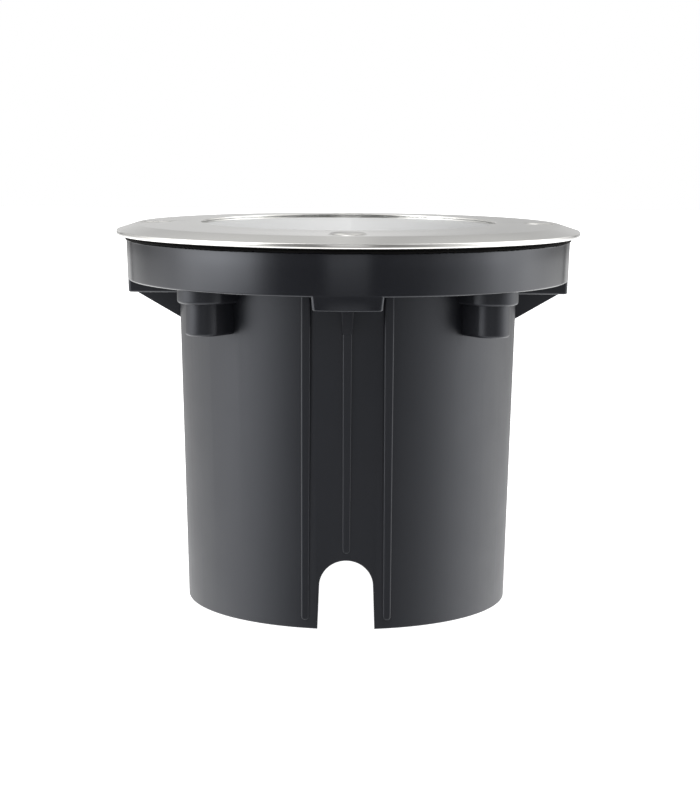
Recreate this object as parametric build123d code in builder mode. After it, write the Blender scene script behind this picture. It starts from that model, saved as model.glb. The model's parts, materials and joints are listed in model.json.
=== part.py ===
from build123d import *
from math import radians, sqrt, tan
import os

# Round in-ground light: a moulded pot set in the ground, a cast lamp housing screwed into it, and a glazed
# stainless trim ring on top. Inside, a reflector lamp hangs in a gimbal that turns and tilts.
# Millimetres, +Z up. The origin is the centre of the pot's lower rim, and the front faces -Y.

os.makedirs("parts", exist_ok=True)

# Shared values
place_count = 4
boss_start_angle = 45
overrun = 2.0
running_gap = 0.05
loose_gap = 0.3
hole_gap = 0.4
edge_break = 0.3
head_round_share = 0.33

# Mounting pot: tapered body, shelf and collar
pot_depth = 160.0
housing_space = 9.3
pot_draft = 0.84
pot_wall = 2.5
pot_foot_round = 0.6
shelf_thickness = 2.5
collar_height = 19.4
collar_draft = 1.77
collar_wall = 3.0
collar_foot_round = 1.7
collar_top_round = 1.2

# Mounting pot: tabs under the collar, each a pocket for a screw boss of the housing
tab_width = 33.5
tab_drop = 6.3
tab_draft = 8.0
tab_corner_round = 1.5
tab_wall = 2.5
tab_set_back = 0.1
pocket_end_wall = 3.9
pocket_end_gap = 1.2

# Mounting pot: gussets and ribs
gusset_set_in = 2.2
gusset_slope = 30.2
gusset_top_width = 5.4
gusset_foot_width = 4.4
centre_rib_notch_gap = 3.5
centre_rib_top_width = 4.4
centre_rib_foot_width = 3.6
centre_rib_top_proud = 1.6
centre_rib_foot_proud = 0.4
centre_rib_round = 0.6
side_rib_foot = 4.1
side_rib_gap = 0.25
side_rib_top_width = 4.6
side_rib_foot_width = 3.8
side_rib_top_proud = 2.0
side_rib_foot_proud = 0.9
side_rib_round = 0.9

# Mounting pot: screw bosses and cable notches
boss_set_in = 0.8
boss_margin = 0.97
boss_step_drop = 6.5
boss_radius = 9.0
boss_drop = 21.7
boss_round = 0.8
boss_root_share = 0.76
notch_arc_radius = 12.7
notch_height = 33.4
notch_flare = 0.75

# Threaded inserts and the housing's screws
insert_radius = 4.5
insert_length = 12.0
insert_groove_width = 2.0
insert_groove_depth = 0.5
insert_pocket_depth = 16.0
housing_screw_radius = 3.0
housing_screw_length = 16.0
housing_screw_head_radius = 5.2
housing_screw_head_height = 3.6
housing_screw_socket = 4.0
washer_thickness = 1.2
washer_radius = 6.2

# Trim ring
ring_overhang = 4.9
ring_glass_cover = 6.7
ring_height = 6.2
ring_lip_thickness = 1.9
ring_slope_drop = 0.8
ring_bevel_width = 9.3
ring_bevel_drop = 3.0
ring_edge_round = 0.5
ring_groove_depth = 1.4
ring_rim_width = 2.5
ring_groove_width = 4.5
ring_countersink_gap = 0.6

# Trim screws
trim_screw_radius = 4.0
trim_screw_head_radius = 7.9
trim_screw_rim = 0.3
trim_screw_tip_gap = 1.85
trim_screw_socket = 5.0
trim_screw_socket_depth = 3.0
trim_screw_gap = 0.1

# Glass and seals
glass_bed_width = 5.5
glass_thickness = 8.0
glass_edge_chamfer = 0.8
glass_bed_thickness = 2.0
glass_gasket_wall = 2.5
glass_gasket_gap = 0.6
glass_shoulder = 5.8
ring_gasket_thickness = 2.4
ring_gasket_proud = 0.5
ring_gasket_set_in = 1.0
ring_gasket_hole_gap = 1.0

# Lamp housing
flange_rise = 0.2
flange_thickness = 5.0
flange_edge_chamfer = 0.6
glass_well_wall = 3.0
skirt_wall = 3.0
skirt_gap = 0.6
wiring_space = 16.0
can_head_gap = 2.9
can_draft = 1.9
can_wall = 3.5
can_floor = 4.0
can_foot_chamfer = 3.5
ring_boss_radius = 8.5
ring_boss_gap = 0.8
ring_boss_clearance = 2.4
ring_boss_floor = 2.0
screw_pad_thickness = 6.0
screw_well_gap = 0.6
screw_well_wall = 2.2
flange_rib_count = 8
flange_rib_width = 3.0
flange_rib_drop = 8.0

# Cable glands in the housing's floor
gland_count = 2
gland_offset = 22.0
gland_stub_radius = 9.95
gland_hex_land = 2.05
gland_hex_height = 5.5
gland_stub_rise = 8.0
gland_neck_wall = 1.65
gland_neck_length = 8.5
gland_seal_step = 1.0
gland_seal_wall = 3.1
gland_seal_length = 10.0
gland_seal_proud = 4.0
gland_cap_wall = 1.65
gland_cap_length = 17.0
gland_mouth_gap = 1.5
gland_cap_dome = 6.0
gland_lip_width = 2.5
locknut_height = 4.5
cable_radius = 4.5
blanking_head_height = 2.0

# Terminal block, its screws and the earth point
block_length = 36.0
block_depth = 17.0
block_height = 14.0
block_pole_depth = 16.0
block_wall_gap = 6.4
block_base_height = 8.0
block_pole_width = 8.0
block_pole_pitch = 12.0
pole_count = 3
block_entry_radius = 2.1
block_entry_height = 5.0
block_screw_radius = 1.6
block_screw_height = 3.0
block_screw_sink = 1.5
block_fixing_radius = 1.25
block_fixing_head_height = 1.6
block_fixing_length = 9.0
block_pad_height = 2.0
block_pad_radius = 4.0
earth_wall_gap = 16.6
earth_pad_radius = 5.5
earth_pad_height = 4.0
earth_screw_radius = 2.0
earth_screw_head_radius = 3.8
earth_screw_head_height = 2.6
earth_screw_length = 6.0
earth_washer_radius = 4.6
earth_washer_thickness = 0.8
slot_width = 0.8
slot_depth = 0.9

# Gimbal: pan ring on the housing's ledge, cradle between its ears
lamp_face_drop = 20.3
pivot_drop = 15.0
ear_rise = 7.5
ear_radius = 6.0
ear_thickness = 1.5
pan_ring_thickness = 1.5
swing_gap = 3.7
ledge_thickness = 3.0
ledge_proud = 1.0
snap_wire_radius = 0.85
snap_gap_angle = 24
cradle_thickness = 1.5
cradle_lip_width = 3.5
cradle_rim_rise = 3.2
pivot_radius = 2.0
pivot_head_radius = 3.5
pivot_head_height = 2.2
pivot_socket = 2.5
pivot_inner_reach = 2.0
clip_wire_radius = 0.8
clip_sink = 0.2
clip_gap_angle = 30

# Reflector lamp
lamp_radius = 55.5
lamp_rim_height = 8.5
lamp_rim_width = 5.0
lamp_neck_radius = 17.0
lamp_bowl_depth = 39.5
lamp_bowl_bulge = 6.0
lamp_wall = 2.0
lens_margin = 2.3
lens_thickness = 2.5
lens_sink = 0.4
capsule_radius = 5.5
capsule_length = 26.0
capsule_round = 4.4
capsule_stem_radius = 3.0
capsule_stem_length = 10.0
base_foot_radius = 13.5
base_length = 18.0
base_flat_width = 25.0
pin_pitch = 10.0
pin_neck_radius = 1.4
pin_head_radius = 2.4
pin_length = 7.5
pin_head_length = 3.0

# Lampholder and leads
holder_radius = 14.5
holder_height = 22.0
holder_waist_depth = 1.5
holder_waist_height = 8.0
holder_screw_radius = 1.5
holder_screw_head_radius = 2.8
holder_screw_head_height = 1.6
holder_screw_length = 6.0
holder_screw_offset = 9.0
lead_radius = 1.2
lead_pitch = 8.0
lead_end_run = 6.0
lead_bend_radius = 2.5

# Heights worked out from the pot upwards
shelf_top = pot_depth + shelf_thickness
collar_top = pot_depth + collar_height
flange_top = collar_top + flange_rise
ring_foot = flange_top + ring_gasket_thickness
ring_top = ring_foot + ring_height
glass_top = ring_top - ring_lip_thickness
glass_foot = glass_top - glass_thickness
glass_seat = glass_foot - glass_bed_thickness

# Heights worked out from the glass downwards
seat_under = glass_seat - flange_thickness
flange_under = flange_top - flange_thickness
lamp_face = glass_foot - lamp_face_drop
pivot_height = lamp_face - pivot_drop
ledge_top = pivot_height - ear_rise - pan_ring_thickness
lamp_rim_foot = lamp_face - lamp_rim_height
neck_height = lamp_rim_foot - lamp_bowl_depth
base_foot = neck_height - base_length
holder_foot = base_foot - holder_height
floor_top = holder_foot - wiring_space
housing_foot = floor_top - can_floor
tab_foot = pot_depth - tab_drop
pocket_floor = tab_foot + tab_wall
boss_foot = pocket_floor + ring_boss_clearance

# Radii worked out from the lamp outwards
cradle_radius = lamp_radius + loose_gap + cradle_thickness
pan_ring_inner_radius = cradle_radius + swing_gap
ear_outer = pan_ring_inner_radius + ear_thickness
can_radius_at_pivot = ear_outer + pivot_head_height + can_head_gap + can_wall
can_foot_radius = can_radius_at_pivot - (pivot_height - housing_foot) * tan(radians(can_draft))
aperture_radius = can_foot_radius + (glass_seat - housing_foot) * tan(radians(can_draft)) - can_wall
glass_gasket_inner_radius = aperture_radius + glass_shoulder
glass_radius = glass_gasket_inner_radius + glass_bed_width
glass_gasket_radius = glass_radius + loose_gap + glass_gasket_wall
glass_well_radius = glass_gasket_radius + glass_gasket_gap
ring_opening_radius = glass_radius - ring_glass_cover
ring_screw_pitch_radius = glass_well_radius + glass_well_wall + ring_boss_radius + ring_boss_gap
pocket_end = ring_screw_pitch_radius + ring_boss_radius + pocket_end_gap
collar_radius = pocket_end + pocket_end_wall + (collar_top - tab_foot) * tan(radians(collar_draft))
ring_radius = collar_radius + ring_overhang
pot_foot_radius = can_foot_radius + housing_space + pot_wall


def pot_radius_at(height):
    """Outer radius of the pot's body at a height"""
    return pot_foot_radius + height * tan(radians(pot_draft))


def collar_radius_at(height):
    """Outer radius of the pot's collar at a height"""
    return collar_radius - (collar_top - height) * tan(radians(collar_draft))


def can_radius_at(height):
    """Outer radius of the lamp housing's can at a height"""
    return can_foot_radius + (height - housing_foot) * tan(radians(can_draft))


def can_bore_at(height):
    """Inner radius of the lamp housing's can at a height"""
    return can_radius_at(height) - can_wall


# Places worked out between the pot's body and its collar
gap_middle = (pot_radius_at(pot_depth) + collar_radius_at(pot_depth)) / 2
boss_pitch_radius = gap_middle - boss_set_in
boss_step_radius = gap_middle - pot_radius_at(pot_depth) - boss_margin
gusset_reach = collar_radius_at(tab_foot) - gusset_set_in
centre_rib_foot = notch_height + centre_rib_notch_gap
side_rib_inset = tab_width / 2 + side_rib_gap
skirt_radius = collar_radius_at(shelf_top) - collar_wall - skirt_gap


def round_screw(head_radius, head_height, shank_radius, length):
    """Slotted round-head screw, its head seated on Z = 0 and its shank pointing down"""
    with BuildPart() as screw:
        with BuildSketch():
            Circle(head_radius)
        extrude(amount=head_height)
        fillet(screw.edges().group_by(Axis.Z)[-1], head_height * head_round_share)
        with BuildSketch():
            Circle(shank_radius)
        extrude(amount=-length)
        with BuildSketch(Plane.XY.offset(head_height)):
            Rectangle(slot_width, 2 * head_radius + overrun)
        extrude(amount=-slot_depth, mode=Mode.SUBTRACT)
    return screw.part


def socket_screw(head_radius, head_height, shank_radius, length, socket_width):
    """Hexagon-socket screw, its head seated on Z = 0 and its shank pointing down"""
    with BuildPart() as screw:
        with BuildSketch():
            Circle(head_radius)
        extrude(amount=head_height)
        fillet(screw.edges().group_by(Axis.Z)[-1], head_height * head_round_share)
        with BuildSketch():
            Circle(shank_radius)
        extrude(amount=-length)
        chamfer(screw.edges().group_by(Axis.Z)[0], edge_break)
        with BuildSketch(Plane.XY.offset(head_height)):
            RegularPolygon(socket_width / 2, 6, major_radius=False)
        extrude(amount=-head_height / 2, mode=Mode.SUBTRACT)
    return screw.part


# Tab: a drafted block under the collar, flush with the collar's face
tab_draft_inset = tab_drop * tan(radians(tab_draft))
with BuildPart() as tab_blank:
    with BuildSketch(Plane.XZ.offset(pot_radius_at(tab_foot) - pot_wall)) as tab_outline:
        with BuildLine():
            Polyline(
                (-tab_width / 2, pot_depth),
                (-tab_width / 2 + tab_draft_inset, tab_foot),
                (tab_width / 2 - tab_draft_inset, tab_foot),
                (tab_width / 2, pot_depth),
                (tab_width / 2, shelf_top),
                (-tab_width / 2, shelf_top),
                close=True,
            )
        make_face()
        fillet(tab_outline.vertices().group_by(Axis.Y)[0], tab_corner_round)
    extrude(amount=collar_radius)
    with BuildSketch(Plane.XZ):
        with BuildLine():
            Polyline(
                (0, tab_foot - overrun),
                (collar_radius_at(tab_foot - overrun) - tab_set_back, tab_foot - overrun),
                (collar_radius_at(shelf_top + overrun) - tab_set_back, shelf_top + overrun),
                (0, shelf_top + overrun),
                close=True,
            )
        make_face()
    revolve(axis=Axis.Z, mode=Mode.INTERSECT)

# Gusset: a web from the tab's underside down to the body
gusset_root = pot_foot_radius - pot_wall
gusset_fall = tan(radians(gusset_slope))
gusset_foot = tab_foot - (gusset_reach - gusset_root) * gusset_fall
with BuildPart() as gusset_blank:
    with BuildSketch(Plane.XZ.offset(gusset_root)):
        with BuildLine():
            Polyline(
                (-gusset_top_width / 2, tab_foot + tab_wall),
                (-gusset_foot_width / 2, gusset_foot),
                (gusset_foot_width / 2, gusset_foot),
                (gusset_top_width / 2, tab_foot + tab_wall),
                close=True,
            )
        make_face()
    extrude(amount=gusset_reach - gusset_root)
    with BuildSketch(Plane.YZ):
        with BuildLine():
            Polyline(
                (-gusset_root, gusset_foot),
                (-gusset_reach, tab_foot),
                (-gusset_reach, tab_foot + tab_wall),
                (-gusset_root, tab_foot + tab_wall),
                close=True,
            )
        make_face()
    extrude(amount=gusset_top_width, both=True, mode=Mode.INTERSECT)

# Centre rib: a narrow rib with a round foot, standing less proud towards the foot
centre_rib_top = tab_foot
rib_rise = centre_rib_top - centre_rib_foot
rib_foot_y = pot_radius_at(centre_rib_foot) + centre_rib_foot_proud
rib_lean = pot_radius_at(centre_rib_top) + centre_rib_top_proud - rib_foot_y
centre_rib_plane = Plane(
    origin=(0, -rib_foot_y, centre_rib_foot),
    x_dir=(1, 0, 0),
    z_dir=(0, -rib_rise, -rib_lean),
)
with BuildPart() as centre_rib_blank:
    with BuildSketch(centre_rib_plane):
        foot_half = centre_rib_foot_width / 2
        top_half = centre_rib_top_width / 2
        with BuildLine():
            Polyline(
                (foot_half, foot_half),
                (top_half, rib_rise),
                (-top_half, rib_rise),
                (-foot_half, foot_half),
            )
            ThreePointArc((-foot_half, foot_half), (0, 0), (foot_half, foot_half))
        make_face()
    extrude(amount=-(centre_rib_top_proud + pot_wall))
    fillet(centre_rib_blank.faces().sort_by(Axis.Y)[0].edges(), centre_rib_round)

# Side rib: a pair of these flanks each tab, from the shelf nearly to the foot
side_rise = pot_depth - side_rib_foot
side_middle = side_rib_inset + side_rib_top_width / 2
side_foot_y = sqrt(pot_radius_at(side_rib_foot) ** 2 - side_middle**2) + side_rib_foot_proud
side_top_y = sqrt(pot_radius_at(pot_depth) ** 2 - side_middle**2) + side_rib_top_proud
side_rib_plane = Plane(
    origin=(side_middle, -side_foot_y, side_rib_foot),
    x_dir=(1, 0, 0),
    z_dir=(0, -side_rise, side_foot_y - side_top_y),
)
with BuildPart() as side_rib_blank:
    with BuildSketch(side_rib_plane):
        foot_half = side_rib_foot_width / 2
        top_half = side_rib_top_width / 2
        with BuildLine():
            Polyline(
                (foot_half, foot_half),
                (top_half, side_rise),
                (-top_half, side_rise),
                (-foot_half, foot_half),
            )
            ThreePointArc((-foot_half, foot_half), (0, 0), (foot_half, foot_half))
        make_face()
    extrude(amount=-(side_rib_top_proud + 2 * pot_wall))
    fillet(side_rib_blank.faces().sort_by(Axis.Y)[0].edges(), side_rib_round)
    mirror(about=Plane.YZ)

# Screw boss: a stepped round pillar whose sides draw in as they run back to the body
boss_root = pot_foot_radius - pot_wall
with BuildPart() as boss_blank:
    for radius, drop in ((boss_step_radius, boss_step_drop), (boss_radius, boss_drop)):
        with BuildSketch(Plane.XY.offset(pot_depth - drop)):
            with Locations((boss_pitch_radius, 0)):
                Circle(radius)
            with BuildLine():
                Polyline(
                    (boss_root, -radius * boss_root_share),
                    (boss_pitch_radius, -radius),
                    (boss_pitch_radius, radius),
                    (boss_root, radius * boss_root_share),
                    close=True,
                )
            make_face()
        extrude(amount=drop + shelf_thickness / 2)
    fillet(boss_blank.edges().group_by(Axis.Z)[0], boss_round)

# Mounting pot: the turned blank with what stands on it, then hollowed, pocketed and notched
pocket_start = pot_radius_at(shelf_top) + loose_gap
with BuildPart() as mounting_pot:
    with BuildSketch(Plane.XZ) as pot_outline:
        with BuildLine():
            Polyline(
                (0, 0),
                (pot_foot_radius, 0),
                (pot_radius_at(pot_depth), pot_depth),
                (collar_radius_at(pot_depth), pot_depth),
                (collar_radius, collar_top),
                (0, collar_top),
                close=True,
            )
        make_face()
        outline_corners = pot_outline.vertices()
        collar_foot = (collar_radius_at(pot_depth), pot_depth)
        fillet(outline_corners.sort_by_distance((pot_foot_radius, 0))[0], pot_foot_round)
        fillet(outline_corners.sort_by_distance(collar_foot)[0], collar_foot_round)
        fillet(outline_corners.sort_by_distance((collar_radius, collar_top))[0], collar_top_round)
    revolve(axis=Axis.Z)
    with PolarLocations(0, place_count):
        add(tab_blank.part)
        add(gusset_blank.part)
        add(centre_rib_blank.part)
        add(side_rib_blank.part)
    with PolarLocations(0, place_count, start_angle=boss_start_angle):
        add(boss_blank.part)
    with BuildSketch(Plane.XZ):
        with BuildLine():
            Polyline(
                (0, -overrun),
                (pot_radius_at(-overrun) - pot_wall, -overrun),
                (pot_radius_at(shelf_top) - pot_wall, shelf_top),
                (collar_radius_at(shelf_top) - collar_wall, shelf_top),
                (collar_radius_at(collar_top + overrun) - collar_wall, collar_top + overrun),
                (0, collar_top + overrun),
                close=True,
            )
        make_face()
    revolve(axis=Axis.Z, mode=Mode.SUBTRACT)
    with BuildSketch(Plane.XY.offset(pocket_floor)) as pockets:
        with PolarLocations((pocket_start + pocket_end) / 2, place_count):
            Rectangle(pocket_end - pocket_start, tab_width - 2 * (tab_wall + tab_draft_inset))
        fillet(pockets.vertices(), tab_corner_round)
    extrude(amount=shelf_top - pocket_floor + overrun, mode=Mode.SUBTRACT)
    with BuildSketch(Plane.XY.offset(shelf_top)):
        with PolarLocations(boss_pitch_radius, place_count, start_angle=boss_start_angle):
            Circle(insert_radius + running_gap)
    extrude(amount=-insert_pocket_depth, mode=Mode.SUBTRACT)
    with BuildSketch(Plane.XZ):
        spring_line = notch_height - notch_arc_radius
        foot_half = notch_arc_radius + notch_flare * (1 + overrun / spring_line)
        with BuildLine():
            Polyline(
                (notch_arc_radius, spring_line),
                (foot_half, -overrun),
                (-foot_half, -overrun),
                (-notch_arc_radius, spring_line),
            )
            ThreePointArc(
                (-notch_arc_radius, spring_line),
                (0, notch_height),
                (notch_arc_radius, spring_line),
            )
        make_face()
    extrude(amount=pot_foot_radius + overrun, both=True, mode=Mode.SUBTRACT)
mounting_pot.part.label = "mounting_pot"
export_step(mounting_pot.part, "parts/mounting_pot.step")

# Threaded insert: a brass bush with a groove round its middle
with BuildPart() as insert_blank:
    with BuildSketch(Plane.XZ):
        with BuildLine():
            Polyline(
                (housing_screw_radius + running_gap, 0),
                (insert_radius, 0),
                (insert_radius, -(insert_length - insert_groove_width) / 2),
                (insert_radius - insert_groove_depth, -(insert_length - insert_groove_width) / 2),
                (insert_radius - insert_groove_depth, -(insert_length + insert_groove_width) / 2),
                (insert_radius, -(insert_length + insert_groove_width) / 2),
                (insert_radius, -insert_length),
                (housing_screw_radius + running_gap, -insert_length),
                close=True,
            )
        make_face()
    revolve(axis=Axis.Z)

with BuildPart() as pot_inserts:
    with Locations((0, 0, shelf_top - edge_break)):
        with PolarLocations(boss_pitch_radius, place_count, start_angle=boss_start_angle):
            add(insert_blank.part)
pot_inserts.part.label = "pot_inserts"
export_step(pot_inserts.part, "parts/pot_inserts.step")

# Lamp housing: a cast can with a glass seat, a flange and a skirt that stands on the pot's shelf
skirt_inner_radius = skirt_radius - skirt_wall
pan_ring_radius = can_bore_at(ledge_top) - hole_gap
ledge_inner_radius = pan_ring_inner_radius + ledge_proud
ledge_under = ledge_top - ledge_thickness
ledge_foot = ledge_under - (can_bore_at(ledge_under) - ledge_inner_radius)
snap_height = ledge_top + pan_ring_thickness + snap_wire_radius + running_gap
snap_ring_radius = can_bore_at(snap_height) - snap_wire_radius / 2
snap_groove_width = 2 * (snap_wire_radius + running_gap)
pad_foot = shelf_top
pad_top = pad_foot + screw_pad_thickness
screw_well_radius = washer_radius + screw_well_gap
gland_stub_top = floor_top + gland_stub_rise
block_foot = floor_top + block_pad_height
block_reach = can_bore_at(block_foot) - block_wall_gap
block_offset = sqrt(block_reach**2 - (block_length / 2) ** 2) - block_depth / 2
earth_offset = can_bore_at(floor_top) - earth_wall_gap
with BuildPart() as lamp_housing:
    with BuildSketch(Plane.XZ) as housing_outline:
        with BuildLine():
            Polyline(
                (0, housing_foot),
                (can_foot_radius, housing_foot),
                (can_radius_at(seat_under), seat_under),
                (glass_well_radius + glass_well_wall, seat_under),
                (glass_well_radius + glass_well_wall, flange_under),
                (skirt_inner_radius, flange_under),
                (skirt_inner_radius, shelf_top),
                (skirt_radius, shelf_top),
                (skirt_radius, flange_top),
                (glass_well_radius, flange_top),
                (glass_well_radius, glass_seat),
                (aperture_radius, glass_seat),
                (can_bore_at(ledge_top), ledge_top),
                (ledge_inner_radius, ledge_top),
                (ledge_inner_radius, ledge_under),
                (can_bore_at(ledge_foot), ledge_foot),
                (can_bore_at(floor_top), floor_top),
                (0, floor_top),
                close=True,
            )
        make_face()
        outline_corners = housing_outline.vertices()
        chamfer(outline_corners.sort_by_distance((can_foot_radius, housing_foot))[0], can_foot_chamfer)
        chamfer(outline_corners.sort_by_distance((skirt_radius, flange_top))[0], flange_edge_chamfer)
        chamfer(outline_corners.sort_by_distance((can_bore_at(floor_top), floor_top))[0], can_foot_chamfer / 2)
    revolve(axis=Axis.Z)
    with BuildSketch(Plane.XY.offset(boss_foot)):
        with PolarLocations(ring_screw_pitch_radius, place_count):
            Circle(ring_boss_radius)
    extrude(amount=flange_top - boss_foot - flange_thickness / 2)
    with BuildSketch(Plane.XY.offset(pad_foot)):
        with PolarLocations(boss_pitch_radius, place_count, start_angle=boss_start_angle):
            Circle(screw_well_radius + screw_well_wall)
    extrude(amount=flange_top - pad_foot - flange_thickness / 2)
    with BuildSketch(Plane.XY.offset(flange_under - flange_rib_drop)):
        rib_start = can_radius_at(flange_under) - can_wall / 2
        rib_end = skirt_radius - skirt_wall / 2
        with PolarLocations((rib_start + rib_end) / 2, flange_rib_count, start_angle=boss_start_angle / 2):
            Rectangle(rib_end - rib_start, flange_rib_width)
    extrude(amount=flange_rib_drop + (glass_seat - flange_under) / 2)
    with BuildSketch(Plane.XY.offset(flange_top)):
        with PolarLocations(ring_screw_pitch_radius, place_count):
            Circle(trim_screw_radius + running_gap)
    extrude(amount=-(flange_top - boss_foot - ring_boss_floor), mode=Mode.SUBTRACT)
    with BuildSketch(Plane.XY.offset(pad_top)):
        with PolarLocations(boss_pitch_radius, place_count, start_angle=boss_start_angle):
            Circle(screw_well_radius)
    extrude(amount=flange_top - pad_top + overrun, mode=Mode.SUBTRACT)
    with BuildSketch(Plane.XY.offset(pad_top)):
        with PolarLocations(boss_pitch_radius, place_count, start_angle=boss_start_angle):
            Circle(housing_screw_radius + hole_gap)
    extrude(amount=-(screw_pad_thickness + overrun), mode=Mode.SUBTRACT)
    with BuildSketch(Plane.XY.offset(floor_top - can_floor / 2)):
        with Locations((block_pole_pitch / 2, block_offset), (-block_pole_pitch / 2, block_offset)):
            Circle(block_pad_radius)
    extrude(amount=block_pad_height + can_floor / 2)
    with BuildSketch(Plane.XY.offset(floor_top - can_floor / 2)):
        with Locations((0, -earth_offset)):
            Circle(earth_pad_radius)
    extrude(amount=earth_pad_height + can_floor / 2)
    with BuildSketch(Plane.XY.offset(block_foot)):
        with Locations((block_pole_pitch / 2, block_offset), (-block_pole_pitch / 2, block_offset)):
            Circle(block_fixing_radius + running_gap)
    extrude(amount=-(block_pad_height + can_floor / 2), mode=Mode.SUBTRACT)
    with BuildSketch(Plane.XY.offset(floor_top + earth_pad_height)):
        with Locations((0, -earth_offset)):
            Circle(earth_screw_radius + running_gap)
    extrude(amount=-(earth_pad_height + can_floor / 2), mode=Mode.SUBTRACT)
    with BuildSketch(Plane.XY.offset(floor_top)):
        with PolarLocations(gland_offset, gland_count):
            Circle(gland_stub_radius + running_gap)
    extrude(amount=-(can_floor + overrun), mode=Mode.SUBTRACT)
    with BuildSketch(Plane.XZ):
        with Locations((snap_ring_radius, snap_height)):
            Rectangle(snap_groove_width, snap_groove_width)
    revolve(axis=Axis.Z, mode=Mode.SUBTRACT)
lamp_housing.part.label = "lamp_housing"
export_step(lamp_housing.part, "parts/lamp_housing.step")

# Housing screws and washers, down into the pot's inserts
housing_screw_blank = socket_screw(
    housing_screw_head_radius,
    housing_screw_head_height,
    housing_screw_radius,
    housing_screw_length,
    housing_screw_socket,
)
with BuildPart() as housing_screws:
    with Locations((0, 0, pad_top + washer_thickness)):
        with PolarLocations(boss_pitch_radius, place_count, start_angle=boss_start_angle):
            add(housing_screw_blank)
housing_screws.part.label = "housing_screws"
export_step(housing_screws.part, "parts/housing_screws.step")

with BuildPart() as housing_washers:
    with BuildSketch(Plane.XY.offset(pad_top)):
        with PolarLocations(boss_pitch_radius, place_count, start_angle=boss_start_angle):
            Circle(washer_radius)
            Circle(housing_screw_radius + hole_gap, mode=Mode.SUBTRACT)
    extrude(amount=washer_thickness)
housing_washers.part.label = "housing_washers"
export_step(housing_washers.part, "parts/housing_washers.step")

# Trim ring: a turned ring with a gently falling top, a bevel, and a relief groove inside its rim
ring_slope_end = ring_radius - ring_bevel_width
ring_slope_top = ring_top - ring_slope_drop
ring_bevel_foot = ring_slope_top - ring_bevel_drop
ring_pocket_radius = glass_gasket_radius + loose_gap
ring_groove_inner_radius = ring_radius - ring_rim_width - ring_groove_width
ring_countersink_radius = trim_screw_head_radius + ring_countersink_gap
screw_slope_share = (ring_screw_pitch_radius - ring_opening_radius) / (ring_slope_end - ring_opening_radius)
ring_top_at_screw = ring_top - ring_slope_drop * screw_slope_share
with BuildPart() as trim_ring:
    with BuildSketch(Plane.XZ) as ring_outline:
        with BuildLine():
            Polyline(
                (ring_opening_radius, glass_top),
                (ring_opening_radius, ring_top),
                (ring_slope_end, ring_slope_top),
                (ring_radius, ring_bevel_foot),
                (ring_radius, ring_foot),
                (ring_radius - ring_rim_width, ring_foot),
                (ring_radius - ring_rim_width, ring_foot + ring_groove_depth),
                (ring_groove_inner_radius, ring_foot + ring_groove_depth),
                (ring_groove_inner_radius, ring_foot),
                (ring_pocket_radius, ring_foot),
                (ring_pocket_radius, glass_top),
                close=True,
            )
        make_face()
        outline_corners = ring_outline.vertices()
        fillet(outline_corners.sort_by_distance((ring_radius, ring_foot))[0], ring_edge_round)
        fillet(outline_corners.sort_by_distance((ring_radius, ring_bevel_foot))[0], ring_edge_round)
        chamfer(outline_corners.sort_by_distance((ring_opening_radius, ring_top))[0], edge_break)
    revolve(axis=Axis.Z)
    with Locations((0, 0, ring_top_at_screw)):
        with PolarLocations(ring_screw_pitch_radius, place_count):
            CounterSinkHole(
                trim_screw_radius + hole_gap,
                ring_countersink_radius,
                depth=ring_height + overrun,
                counter_sink_angle=90,
            )
trim_ring.part.label = "trim_ring"
export_step(trim_ring.part, "parts/trim_ring.step")

# Trim screw: countersunk, with a hexagon socket
head_cone = trim_screw_head_radius - trim_screw_radius
head_seat = ring_top_at_screw - ring_countersink_gap + trim_screw_gap
trim_screw_length = head_seat + trim_screw_rim - (boss_foot + ring_boss_floor + trim_screw_tip_gap)
with BuildPart() as trim_screw_blank:
    with BuildSketch(Plane.XZ):
        with BuildLine():
            Polyline(
                (0, trim_screw_rim),
                (trim_screw_head_radius, trim_screw_rim),
                (trim_screw_head_radius, 0),
                (trim_screw_radius, -head_cone),
                (trim_screw_radius, trim_screw_rim + edge_break - trim_screw_length),
                (trim_screw_radius - edge_break, trim_screw_rim - trim_screw_length),
                (0, trim_screw_rim - trim_screw_length),
                close=True,
            )
        make_face()
    revolve(axis=Axis.Z)
    with BuildSketch(Plane.XY.offset(trim_screw_rim)):
        RegularPolygon(trim_screw_socket / 2, 6, major_radius=False)
    extrude(amount=-trim_screw_socket_depth, mode=Mode.SUBTRACT)

with BuildPart() as trim_screws:
    with Locations((0, 0, head_seat)):
        with PolarLocations(ring_screw_pitch_radius, place_count):
            add(trim_screw_blank.part)
trim_screws.part.label = "trim_screws"
export_step(trim_screws.part, "parts/trim_screws.step")

# Ring gasket: a flat foam seal between the flange and the ring
with BuildPart() as ring_gasket:
    with BuildSketch(Plane.XY.offset(flange_top)):
        Circle(skirt_radius + ring_gasket_proud)
        Circle(glass_well_radius + ring_gasket_set_in, mode=Mode.SUBTRACT)
        with PolarLocations(ring_screw_pitch_radius, place_count):
            Circle(trim_screw_radius + ring_gasket_hole_gap, mode=Mode.SUBTRACT)
    extrude(amount=ring_gasket_thickness)
ring_gasket.part.label = "ring_gasket"
export_step(ring_gasket.part, "parts/ring_gasket.step")

# Cover glass: a thick disc with chamfered edges
with BuildPart() as cover_glass:
    with BuildSketch(Plane.XY.offset(glass_foot)):
        Circle(glass_radius)
    extrude(amount=glass_thickness)
    chamfer(cover_glass.edges(), glass_edge_chamfer)
cover_glass.part.label = "cover_glass"
export_step(cover_glass.part, "parts/cover_glass.step")

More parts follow.
